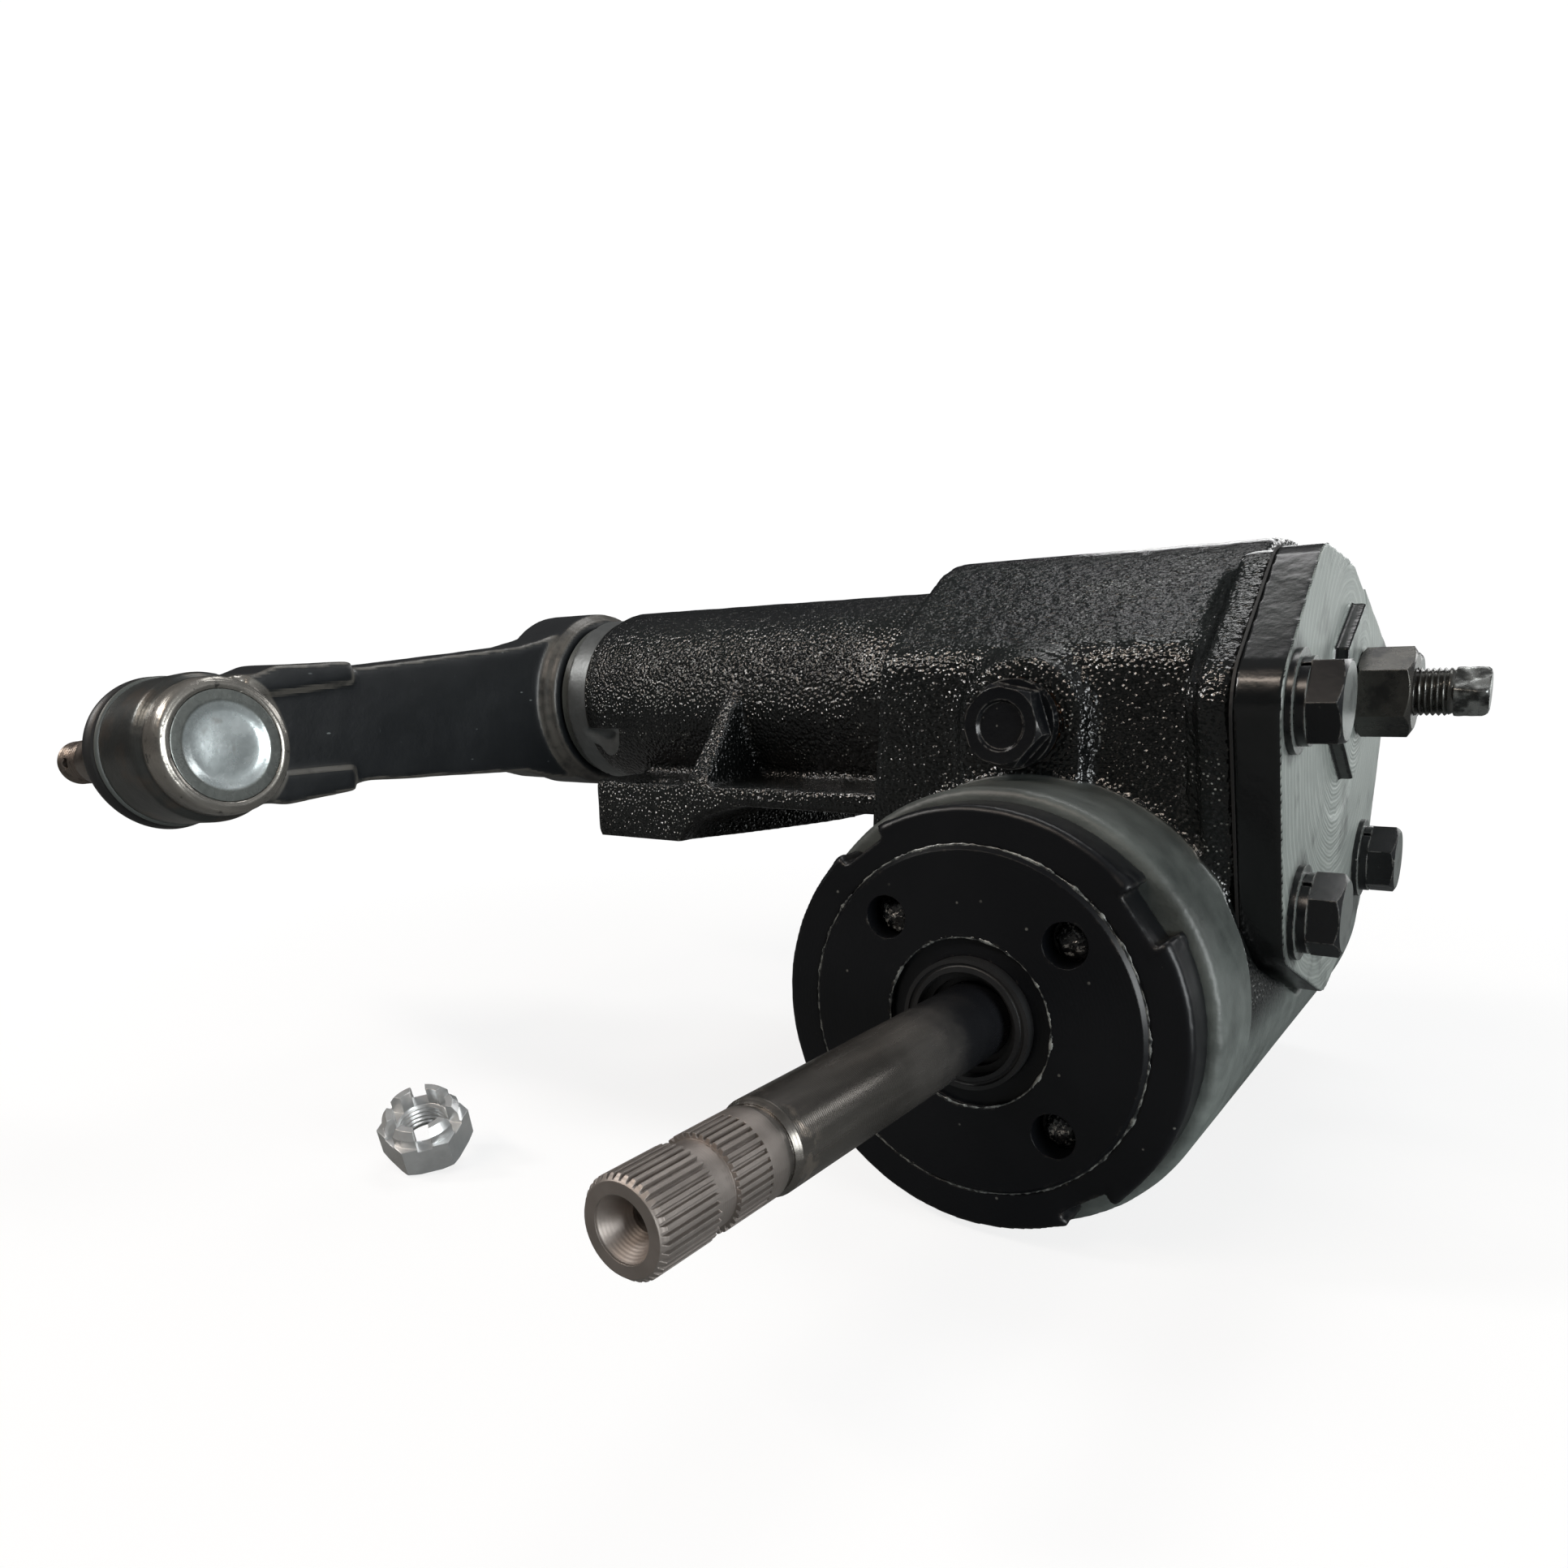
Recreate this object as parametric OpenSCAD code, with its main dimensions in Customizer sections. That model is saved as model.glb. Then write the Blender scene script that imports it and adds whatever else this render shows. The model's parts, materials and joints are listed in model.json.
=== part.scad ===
// Manual steering gearbox: recirculating-ball worm and toothed sector, long
// sector-shaft housing, pitman arm with an integral ball joint.
// Frame: origin on the foot's machined face, midway between its two bolt holes.
// +X runs along the sector shaft towards the side cover, -Y is the way the
// input shaft leaves, +Z is up. Positions below are measured from the sector
// axis straight above the worm axis, and on_foot() moves them to that frame.
// Millimetres and degrees.

/* [Main layout] */
// Distance from the sector-shaft axis down to the worm axis
centre_dist = 59.5; // [59.3:0.1:60]
// Pitch radius of the sector gear
sector_pitch_r = 35.5; // [35:0.1:35.7]
// Advance of the ball nut per worm turn
worm_lead = 10; // [10:0.5:11]

/* [Input shaft] */
// Y of the splined tip of the input shaft
tip_y = -176.7; // [-190:0.1:-172]
// Outside radius of the input spline
spline_r = 7.14; // [6.8:0.02:7.3]
// Number of spline teeth
spline_n = 36; // [24:1:40]
// Radius of the plain input shaft
shaft_r = 7.6; // [7.5:0.05:7.7]

/* [Worm bearing adjuster] */
// Outside radius of the notched lock ring
ring_r = 42; // [40:0.1:44]
// Thread radius of the bearing adjuster
adjuster_r = 34.4; // [34:0.1:35]
// Y of the front face of the lock ring
ring_front = -80; // [-82:0.1:-79]
// Y of the back face of the lock ring, where it locks on the barrel
ring_back = -71; // [-72:0.1:-70]
// Radius of the worm barrel
barrel_r = 44.5; // [43:0.1:46]

/* [Sector tube and foot] */
// Radius of the sector-shaft tube
tube_r = 26.5; // [25:0.1:28]
// X of the painted end of the tube
tube_end = -154; // [-156:0.5:-150]
// X of the machined spigot's end face
spigot_end = -162.5; // [-164:0.1:-160]
// Radius of the sector shaft
sector_r = 15.5; // [15:0.1:16]
// Y of the foot's side faces, either side
foot_half = 43; // [40:0.5:50]
// Z of the foot's machined underside
foot_bottom = -36.5; // [-38:0.1:-35]
// X of the foot's mounting hole row
foot_hole_x = -118; // [-122:0.5:-114]
// Half the distance between the foot's two mounting holes
foot_hole_y = 34; // [33:0.5:35]
// Radius of the foot's mounting holes
foot_hole_r = 5.5; // [5:0.1:6.5]

/* [Side cover] */
// X of the cover's outer face
cover_face = 48.5; // [47.5:0.1:49]
// Thickness of the cover plate
cover_t = 8; // [7:0.1:8.5]
// Across-flats size of the cover bolts
bolt_af = 14.3; // [13:0.1:16]

/* [Pitman arm and ball joint] */
// Distance along -Y from the sector axis to the ball centre
arm_y = 130.6; // [125:0.1:140]
// Height of the ball centre
ball_z = -6.8; // [-9:0.1:-5]
// X of the ball centre
ball_x = -178; // [-179:0.1:-177]
// Downward cant of the ball-stud axis, degrees
stud_cant = 4.4; // [0:0.1:6]
// Radius of the ball
ball_r = 11; // [10.6:0.1:11]
// Thread radius of the ball stud
stud_thread_r = 5.9; // [5.5:0.1:6]

/* [Hidden] */
$fn = 72;
lap = 0.01;                                // overlap of touching shapes

black_gloss = [0.07, 0.075, 0.08];
casting = [0.09, 0.095, 0.095];
steel = [0.45, 0.43, 0.41];
dark_steel = [0.22, 0.22, 0.22];
zinc = [0.75, 0.77, 0.78];
gasket_grey = [0.16, 0.15, 0.13];
seal_black = [0.05, 0.05, 0.05];
boot_black = [0.04, 0.04, 0.04];
cage_yellow = [0.7, 0.55, 0.3];
bush_yellow = [0.66, 0.52, 0.28];
washer_brown = [0.55, 0.33, 0.18];
seat_white = [0.85, 0.85, 0.8];

// Gear teeth
tooth_module = 2 * sector_pitch_r / 16;    // 16 teeth a turn
pressure_angle = 25;
addendum = 0.8 * tooth_module;
dedendum = 1.05 * tooth_module;
backlash = 0.16;                           // at the pitch line

// Worm bearings, one at either end
bearing_path_r = 14.5;                     // ball path radius
bearing_y = 60;                            // ball plane
bearing_groove_r = 3.24;                   // section of the groove
cup_r = 21;
cup_bore_r = cup_r + 0.02;
cup_back = 66;

// Sector shaft's fits
bush_r = 19;
seal_r = 21.5;
seal_seat_x = tube_end + 1.5;
cover_bush_r = 16;
gear_room_r = 40.2;                        // round the sector's teeth
hub_room_r = 32.2;                         // above them
room_start_x = -17;

// Cover and its bolts
flange_x = cover_face - cover_t - 0.5;     // cover seat on the case
boss_x = cover_face + 2.7;                 // end of the cover's hexagonal boss
washer_t = 1.2;
bolt_head_x = cover_face + 3;
cover_hole_r = 5.25;
bolts = [[-51, 0, 30], [51, 0, 12], [-36, -41, 0], [36, -41, 10]];   // [y, z, head turn]

// ---------- helpers ----------
module on_foot() { translate([-foot_hole_x, 0, -foot_bottom]) children(); }
module at_worm() { translate([0, 0, -centre_dist]) children(); }
module at_filler() { translate([filler_x, 0, filler_z]) children(); }
module at_bolts() { for (bolt = bolts) translate([0, bolt[0], bolt[1]]) children(); }
// Ball-joint frame: origin at the ball centre, local +X towards the cap
module at_ball() {
    translate([ball_x, -arm_y, ball_z]) rotate([0, -stud_cant, 0]) children();
}
// Cylinders along an axis, tapered when an end radius is given
module cylX(radius, x0, x1, end_radius = undef) {
    translate([x0, 0, 0]) rotate([0, 90, 0])
        cylinder(r1 = radius, r2 = end_radius == undef ? radius : end_radius, h = x1 - x0);
}
module cylY(radius, y0, y1, end_radius = undef) {
    translate([0, y0, 0]) rotate([-90, 0, 0])
        cylinder(r1 = radius, r2 = end_radius == undef ? radius : end_radius, h = y1 - y0);
}
module cylZ(radius, z0, z1, end_radius = undef) {
    translate([0, 0, z0])
        cylinder(r1 = radius, r2 = end_radius == undef ? radius : end_radius, h = z1 - z0);
}
// Turned shapes from rows of [radius, start, end, end radius if tapered]
module turnedX(rows) { for (row = rows) cylX(row[0], row[1], row[2], row[3]); }
module turnedY(rows) { for (row = rows) cylY(row[0], row[1], row[2], row[3]); }
module turnedZ(rows) { for (row = rows) cylZ(row[0], row[1], row[2], row[3]); }
module ringX(outer, inner, x0, x1) {
    difference() {
        cylX(outer, x0, x1);
        cylX(inner, x0 - 1, x1 + 1);
    }
}
module ringY(outer, inner, y0, y1) {
    difference() {
        cylY(outer, y0, y1);
        cylY(inner, y0 - 1, y1 + 1);
    }
}
// Box between two opposite corners
module box(low, high) { translate(low) cube(high - low); }
// Extrudes a 2D child drawn in (y, z) along X
module alongX(x0, x1) {
    translate([x0, 0, 0]) rotate([90, 0, 90]) linear_extrude(height = x1 - x0) children();
}
module prismX(x0, x1, points) { alongX(x0, x1) polygon(points); }
// Prism along Y from [x, z] points, centred on y = 0
module prismY(half, points) {
    translate([0, half, 0]) rotate([90, 0, 0]) linear_extrude(height = 2 * half) polygon(points);
}
// Hexagonal prism along X, turned about its axis
module hexX(across_flats, x0, x1, turn = 0) {
    translate([x0, 0, 0]) rotate([turn, 0, 0]) rotate([0, 90, 0])
        cylinder(r = across_flats / sqrt(3), h = x1 - x0, $fn = 6);
}
// Hexagon with its corners rounded by a cone at the end face x1
module hex_headX(across_flats, x0, x1, turn = 0) {
    cone_h = 1.2;
    face_r = across_flats / 2 - 0.3;
    intersection() {
        hexX(across_flats, x0, x1, turn);
        union() {
            cylX(across_flats, x0 - 1, x1 - cone_h);
            cylX(face_r + cone_h * 1.73, x1 - cone_h - lap, x1 + lap, face_r);
        }
    }
}
// Ring of round section about the Y axis
module torusY(radius, section_r, y) {
    translate([0, y, 0]) rotate([-90, 0, 0])
        rotate_extrude() translate([radius, 0]) circle(r = section_r);
}
// Spins a 2D child about X; drawn as (radius, x)
module spunX() { rotate([0, 90, 0]) rotate_extrude() children(); }
module wire_ringX(radius, wire_r, x) {
    translate([x, 0, 0]) spunX() translate([radius, 0]) circle(r = wire_r, $fn = 24);
}
function polar(radius, angle) = [radius * cos(angle), radius * sin(angle)];
// Serrated round with n teeth
function serrated(n, outer, inner) =
    [for (k = [0:2 * n - 1]) polar(k % 2 == 0 ? outer : inner, 180 / n * k)];

// ---------- outlines ----------
// Corner rounds of the side cover, [y, z, radius]
cover_corners = [[-51, 0, 10.6], [51, 0, 10.6], [-36, -41, 11], [36, -45, 12.5],
    [2, -55, 11.5], [-30, 16.5, 12], [0, 14.5, 12]];
module cover_outline(grow = 0) {
    hull() for (corner = cover_corners)
        translate([corner[0], corner[1]]) circle(r = corner[2] + grow, $fn = 32);
}
// Upper case, -Y half of its outline from the bottom up, [y, z]
case_half = 50;
case_side = [[-case_half, -62], [-case_half, 7], [-49.4, 9.4], [-47.8, 11.6],
    [-27, 25.6], [-21, 29.2], [-15, 31.4], [-8, 32.4]];
case_outline = concat(case_side,
    [for (k = [len(case_side) - 1:-1:0]) [-case_side[k][0], case_side[k][1]]]);

// ---------- housing ----------
case_end_x = -36;           // where the tube and foot meet the case
foot_top = -21;
plate_bottom = -26.2;       // underside of the thin foot plate
pad_x0 = -137;              // foot pad, outer end
pad_x1 = -103;
filler_x = -2.6;
filler_z = -4;
filler_boss_r = 13.7;
filler_face_y = -53.5;
// Pad's extension towards the case, [x, y]
pad_extension = [[-104, -foot_half + 2], [-98.5, -27], [-93, -10.7], [-88, 8], [-86.6, 20],
    [-88, foot_half - 6], [-92, foot_half], [-104, foot_half]];
// Ramp from the pad to the plate, [x, z]
pad_ramp = [[pad_x1 - lap, foot_bottom], [-99.5, -31.8], [-92, -28.4], [-82, plate_bottom],
    [-82, -24], [pad_x1 - lap, -24]];

module case_body() {
    // upper case round the sector, and the wedge on its tube side
    prismX(-37, 36, case_outline);
    prismY(case_half, [[-36, 9], [-37, 9], [-40.8, -45], [-36, -45]]);
    // worm barrel
    at_worm() turnedY([[barrel_r, ring_back, 74], [barrel_r, 74 - lap, 78, barrel_r - 4]]);
    // cover flange and the smaller step behind it
    alongX(34, flange_x) cover_outline(-0.4);
    alongX(31, 34 + lap) cover_outline(-3.4);
}
module tube_body() {
    turnedX([
        [tube_r, tube_end + 4, case_end_x],
        [tube_r - 2.6, tube_end, tube_end + 4 + lap, tube_r],
        [24.7, spigot_end, tube_end + 1]]);
}
module foot_body() {
    // plate under the tube
    box([-128, -foot_half, plate_bottom], [case_end_x, foot_half, foot_top]);
    // pad across the outer end, its two outer corners cut off
    difference() {
        box([pad_x0, -foot_half, foot_bottom], [pad_x1, foot_half, foot_top]);
        for (side = [-1, 1]) translate([pad_x0, side * foot_half, 0]) rotate([0, 0, 45])
            translate([-3, -3, foot_bottom - 1]) cube([6, 6, 30]);
    }
    translate([0, 0, foot_bottom]) linear_extrude(height = 12) polygon(pad_extension);
    prismY(foot_half, pad_ramp);
    // web joining the plate and the tube
    box([-134, -17, -24], [case_end_x, 17, -14]);
    // bracing ribs either side
    for (side = [-1, 1]) hull() {
        translate([-96, side * 22, 8.5]) cube([4, 1, 1], center = true);
        translate([-97, side * 14, -20.5]) cube([9, 10, 1], center = true);
        translate([-97, side * (foot_half - 0.6), -20.5]) cube([7, 1, 1], center = true);
    }
}
// Round top running down into the barrel
module filler_boss() {
    at_filler() cylY(filler_boss_r, filler_face_y, -49);
    box([filler_x - filler_boss_r, filler_face_y, -24],
        [filler_x + filler_boss_r, -49, filler_z]);
    at_filler() cylY(15.6, -50.8, -49);
}
module worm_cavity() {
    at_worm() turnedY([
        [adjuster_r + 0.04, ring_back - 1, -50],      // mouth for the adjuster
        [33.6, -50 - lap, 57],                        // room for the ball nut
        [cup_bore_r, 56, cup_back],                   // seat of the lower bearing cup
        [14, 65, 71]]);
}
module sector_cavity() {
    // room for the sector gear
    intersection() {
        cylX(gear_room_r, room_start_x, flange_x + 1);
        box([-40, -60, -70], [60, 60, -10]);
    }
    intersection() {
        cylX(hub_room_r, room_start_x, flange_x + 1);
        // flat roof, so the wall above stays thick
        box([-40, -40, -40], [60, 40, 27.5]);
    }
    box([room_start_x, -22, -50], [17, 22, -20]);
    // sector-shaft bore and seal seat
    cylX(bush_r + 0.03, -170, -16);
    cylX(seal_r + 0.03, -170, seal_seat_x);
}
module foot_cuts() {
    // mounting holes and their spot faces
    for (side = [-1, 1]) translate([foot_hole_x, side * foot_hole_y, 0]) {
        cylZ(foot_hole_r, -60, 0);
        cylZ(8.4, foot_top - 0.4, -15);
    }
    // spanner relief in the tube's sides, beyond the pad
    for (side = [-1, 1]) translate([-150, side * 33, 0]) cylZ(12, foot_top, -8);
}
module housing() {
    color(casting) on_foot() difference() {
        union() {
            case_body();
            tube_body();
            foot_body();
            filler_boss();
        }
        worm_cavity();
        sector_cavity();
        // filler hole
        at_filler() cylY(6.05, -60, -30);
        // machined cover seat, cut into the barrel where it stands past the flange
        alongX(flange_x, flange_x + 6) cover_outline(0.9);
        at_bolts() cylX(4.8, 32, 60);
        foot_cuts();
    }
}

// ---------- side cover ----------
module side_cover() {
    hex_af = 32;
    color(black_gloss) on_foot() difference() {
        union() {
            alongX(cover_face - cover_t, cover_face) cover_outline();
            hexX(hex_af, cover_face - 1, boss_x);
            cylX(19.5, 26, cover_face - 1);
        }
        // bores for the bush and the lash screw
        cylX(cover_bush_r + 0.03, 25, 39.6);
        cylX(4.95, 20, 60);
        // shallow turned recess round the boss
        difference() {
            cylX(27, cover_face - 0.35, cover_face + 1);
            hexX(hex_af + 0.6, cover_face - 2, cover_face + 3);
        }
        at_bolts() cylX(cover_hole_r, 30, 60);
    }
}
module cover_gasket() {
    color(gasket_grey) on_foot() difference() {
        alongX(flange_x, cover_face - cover_t) cover_outline(0.3);
        intersection() {
            cylX(gear_room_r, 30, 50);
            box([30, -60, -70], [50, 60, -10]);
        }
        cylX(hub_room_r, 30, 50);
        at_bolts() cylX(cover_hole_r, 30, 60);
    }
}
module cover_bolts() {
    color(black_gloss) on_foot() for (bolt = bolts) translate([0, bolt[0], bolt[1]]) {
        hex_headX(bolt_af, bolt_head_x, bolt_head_x + 5.7, bolt[2]);
        cylX(4.75, 33, bolt_head_x + lap);
    }
}
module cover_lock_washers() {
    color(dark_steel) on_foot() at_bolts() difference() {
        ringX(7.9, 5.1, cover_face + washer_t, bolt_head_x);
        // split
        rotate([35, 0, 0]) translate([cover_face, -0.5, 4]) cube([4, 1, 6]);
    }
}
module cover_flat_washers() {
    color(dark_steel) on_foot() at_bolts() ringX(9.4, 5.1, cover_face, cover_face + washer_t);
}

// ---------- worm bearing adjuster ----------
input_seal_r = 13;
module bearing_adjuster() {
    color(black_gloss) on_foot() at_worm() difference() {
        turnedY([
            [adjuster_r - 0.7, ring_front - 0.8, ring_front, adjuster_r],
            [adjuster_r, ring_front - lap, -54]]);
        // four blind holes for a pin spanner
        for (k = [0:3]) rotate([0, -43 - 90 * k, 0]) translate([26, 0, 0]) turnedY([
            [4.35, ring_front - 2, ring_front + 5],
            [4.35, ring_front + 5 - lap, ring_front + 6.6, 0.4]]);
        turnedY([
            [17, ring_front - 2, ring_front + 0.6],           // sunk face round the seal
            [input_seal_r + 0.02, ring_front - 2, -72.5],
            [9, -73, -65],
            [cup_bore_r, -cup_back, -50],
            [30, -58, -50]]);
    }
}
module adjuster_lock_ring() {
    notch_depth = 2.8;
    notch_half = 5.4;
    color(black_gloss) on_foot() at_worm() difference() {
        turnedY([
            [ring_r - 0.8, ring_front, ring_front + 0.8, ring_r],
            [ring_r, ring_front + 0.8 - lap, ring_back]]);
        cylY(adjuster_r + 0.04, ring_front - 1, ring_back + 1);
        for (k = [0:3]) rotate([0, -36.5 - 90 * k, 0])
            translate([ring_r - notch_depth, ring_front - 1, -notch_half])
                cube([8, 12, 2 * notch_half]);
    }
}
module input_seal() {
    color(seal_black) on_foot() at_worm() difference() {
        cylY(input_seal_r - 0.02, ring_front - 2, -73);
        turnedY([
            [shaft_r + 0.06, -90, -60],
            [10.4, -90, ring_front + 0.4],
            [8.9, -90, ring_front + 2.2]]);
        // groove round the front face
        torusY(11.7, 0.45, ring_front - 2);
    }
}

// ---------- worm bearings ----------
// side is -1 for the upper, input end and 1 for the lower end
module bearing_cup(side) {
    face = side * 58.4;
    back = side * cup_back;
    at_worm() difference() {
        cylY(cup_r, min(face, back), max(face, back));
        cylY(12.4, -80, 80);
        cylY(bearing_path_r, side < 0 ? -bearing_y : 50, side < 0 ? -50 : bearing_y);
        torusY(bearing_path_r, bearing_groove_r, side * bearing_y);
    }
}
module ball_row(side, radius) {
    for (k = [0:11]) rotate([0, 30 * k, 0])
        translate([bearing_path_r, side * bearing_y, 0]) sphere(r = radius, $fn = 24);
}
module bearing_balls(side) { at_worm() ball_row(side, 3.17); }
module bearing_cage(side) {
    mid_y = side * 57.2;
    at_worm() difference() {
        ringY(18.4, 16.2, mid_y - 1, mid_y + 1);
        ball_row(side, 3.25);
    }
}
module upper_bearing_cup() { color(steel) on_foot() bearing_cup(-1); }
module lower_bearing_cup() { color(steel) on_foot() bearing_cup(1); }
module upper_bearing_balls() { color(zinc) on_foot() bearing_balls(-1); }
module lower_bearing_balls() { color(zinc) on_foot() bearing_balls(1); }
module upper_bearing_cage() { color(cage_yellow) on_foot() bearing_cage(-1); }
module lower_bearing_cage() { color(cage_yellow) on_foot() bearing_cage(1); }

// ---------- worm ----------
ball_path_r = 12.5;         // radius of the worm's ball path
worm_r = 11.8;
track_section_r = 2.65;
worm_half = 43;             // half length of the ball track
// Transverse section of the worm: a round bar with one ball track
function track_r(angle) = let (y = worm_lead * angle / 360)
    abs(y) < track_section_r
        ? min(worm_r, ball_path_r - sqrt(track_section_r * track_section_r - y * y))
        : worm_r;
worm_angles = [-180, -150, -120, -104, -93, -84, -72, -56, -38, -19, 0,
    19, 38, 56, 72, 84, 93, 104, 120, 150];
// Splined tip, collar, plain shaft and upper bearing race
input_rows = [
    [spline_r - 0.75, tip_y, tip_y + 0.9, spline_r],
    [spline_r, tip_y + 0.9 - lap, tip_y + 11.2],
    [6.25, tip_y + 11, tip_y + 15.4],
    [spline_r, tip_y + 15.2, tip_y + 26.3],
    [6.6, tip_y + 26, tip_y + 28.2],
    [6.9, tip_y + 28, tip_y + 29, shaft_r],
    [shaft_r, tip_y + 29 - lap, -64],
    [10.9, -65, -57],
    [16, -58, -55],
    [12, -56, -41.5]];
centre_hole_rows = [
    [4.6, tip_y - 1, tip_y + 0.4],
    [4.6, tip_y + 0.4 - lap, tip_y + 4.4, 2.2],
    [2.2, tip_y + 4.4 - lap, tip_y + 9, 1.2]];
// Start and end of the two splined bands, from the tip
spline_bands = [[-1, 13.2], [14.6, 22.4]];
spline_root_r = spline_r - 0.62;
spline_groove = [[spline_root_r, -0.14], [spline_r + 0.4, -0.48],
    [spline_r + 0.4, 0.48], [spline_root_r, 0.14]];

module spline_grooves() {
    for (k = [0:spline_n - 1]) rotate([0, 360 / spline_n * k, 0])
        for (band = spline_bands)
            translate([0, tip_y + band[0], 0]) rotate([-90, 0, 0])
                linear_extrude(height = band[1] - band[0]) polygon(spline_groove);
}
module ball_track() {
    turns = 2 * worm_half / worm_lead;
    rotate([-90, 0, 0]) translate([0, 0, -worm_half])
        rotate([0, 0, -360 * worm_half / worm_lead])
            linear_extrude(height = 2 * worm_half, twist = -360 * turns,
                slices = round(turns * 14), convexity = 10, $fn = 12)
                polygon([for (a = worm_angles) polar(track_r(a), a)]);
}
module worm_shaft() {
    color(steel) on_foot() at_worm() union() {
        difference() {
            turnedY(input_rows);
            torusY(bearing_path_r, bearing_groove_r, -bearing_y);
            turnedY(centre_hole_rows);
            spline_grooves();
        }
        // lower bearing race
        difference() {
            turnedY([[12, 41.5, 56], [16, 55, 58], [10.9, 57, 68]]);
            torusY(bearing_path_r, bearing_groove_r, bearing_y);
        }
        ball_track();
    }
}

// ---------- ball nut ----------
nut_half = 30;              // half length of the ball nut
rack_half = 16;             // half width of the rack
rack_pitch = PI * tooth_module;
rack_pitch_z = centre_dist - sector_pitch_r;    // heights above the worm axis
rack_root_z = rack_pitch_z - dedendum;
rack_tip_z = rack_pitch_z + addendum;
nut_flat_z = -19;
guide_r = 2.65;
guide_hole_r = 2.75;
guide_x = 6;
guide_ends = [3, 15];       // distances of a guide's legs from the nut's middle
guide_z = -23.4;
clamp_z = -28.2;            // underside of the guide clamp
clamp_screw_x = 9.5;

function rack_tooth(mid_y) = let (half = rack_pitch / 4 - backlash / 4,
        root_half = half + dedendum * tan(pressure_angle),
        tip_half = half - addendum * tan(pressure_angle))
    [[mid_y - root_half, rack_root_z], [mid_y - tip_half, rack_tip_z],
     [mid_y + tip_half, rack_tip_z], [mid_y + root_half, rack_root_z]];
module ball_nut() {
    color(dark_steel) on_foot() at_worm() difference() {
        union() {
            difference() {
                cylY(21.5, -nut_half, nut_half);
                box([-30, -nut_half - 1, rack_root_z], [30, nut_half + 1, rack_root_z + 10]);
            }
            box([-rack_half, -nut_half, 0], [rack_half, nut_half, rack_root_z]);
            prismX(-rack_half, rack_half, concat([[-nut_half, 5], [-nut_half, rack_root_z]],
                [for (k = [-1.5, -0.5, 0.5, 1.5]) each rack_tooth(k * rack_pitch)],
                [[nut_half, rack_root_z], [nut_half, 5]]));
        }
        cylY(12.3, -nut_half - 1, nut_half + 1);
        cylY(14.85, -18, 18);
        // flat, ball-guide passages and screw holes underneath
        box([-12, -20, -30], [12, 20, nut_flat_z]);
        for (side = [-1, 1], y = guide_ends)
            translate([side * guide_x, side * y, 0]) cylZ(guide_hole_r, -25, -11);
        for (side = [-1, 1]) translate([side * clamp_screw_x, 0, 0]) cylZ(1.25, -25, -15.5);
    }
}
module nut_balls() {
    step = 26;              // degrees from ball to ball
    color(zinc) on_foot() at_worm() rotate([-90, 0, 0])
        for (k = [-21:21]) let (angle = step * k)
            translate([ball_path_r * cos(angle), ball_path_r * sin(angle),
                worm_lead * angle / 360])
                sphere(r = 2.2, $fn = 20);
}
// Two U-shaped tubes under the nut
module ball_guides() {
    near = guide_ends[0];
    far = guide_ends[1];
    color(zinc) on_foot() at_worm() for (side = [-1, 1]) {
        for (y = guide_ends) translate([side * guide_x, side * y, 0]) {
            cylZ(guide_r, guide_z, -15.2);
            translate([0, 0, guide_z]) sphere(r = guide_r, $fn = 24);
        }
        translate([side * guide_x, 0, guide_z])
            cylY(guide_r, side < 0 ? -far : near, side < 0 ? -near : far);
    }
}
module guide_clamp() {
    color(dark_steel) on_foot() at_worm() difference() {
        box([-12, -4, clamp_z], [12, 4, nut_flat_z - lap]);
        for (side = [-1, 1]) {
            translate([side * guide_x, 0, guide_z]) cylY(guide_hole_r, -20, 20);
            translate([side * guide_x - guide_hole_r, -5, guide_z])
                cube([2 * guide_hole_r, 10, 6]);
            translate([side * clamp_screw_x, 0, 0]) cylZ(1.3, -30, -15);
        }
        translate([-3, -5, guide_z]) cube([6, 10, 6]);
    }
}
module guide_clamp_screws() {
    color(zinc) on_foot() at_worm() for (side = [-1, 1])
        translate([side * clamp_screw_x, 0, 0]) {
            cylZ(1.2, clamp_z - lap, -15.8);
            difference() {
                cylZ(2.2, -29.8, clamp_z);
                box([-3, -0.3, -30], [3, 0.3, -29.1]);
            }
        }
}

// ---------- sector shaft ----------
gear_half = 15.5;           // half width of the sector gear
shaft_spline_x = -163;
shaft_spline_n = 36;
shaft_spline_r = 14.6;
shaft_spline_root_r = 13.7;
arm_thread_r = 11;
lash_slot_x = 29.3;         // floor of the lash screw's slot
lash_screw_r = 4.9;
base_r = sector_pitch_r * cos(pressure_angle);
tip_r = sector_pitch_r + addendum;
root_r = sector_pitch_r - dedendum;
flank_start_r = max(base_r, root_r);
flank_radii = [for (k = [0:5]) flank_start_r + (tip_r - flank_start_r) * k / 5];
// Half angle of a tooth at the pitch line
half_tooth = 90 / 16 - backlash / sector_pitch_r * 180 / PI / 4;

// Involute angle in degrees
function involute(radius) = let (angle = acos(min(1, base_r / radius)))
    tan(angle) * 180 / PI - angle;
// Half angle of a tooth at a radius
function flank(radius) =
    half_tooth + involute(sector_pitch_r) - involute(max(radius, base_r));
function sector_tooth(mid) = concat(
    [polar(root_r, mid - flank(base_r))],
    [for (r = flank_radii) polar(r, mid - flank(r))],
    [for (k = [5:-1:0]) let (r = flank_radii[k]) polar(r, mid + flank(r))],
    [polar(root_r, mid + flank(base_r))]);
sector_outline = concat([[-9, 12], polar(root_r, 270 - 40)],
    [for (k = [-1:1]) each sector_tooth(270 + 22.5 * k)],
    [polar(root_r, 270 + 40), [9, 12]]);

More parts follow.
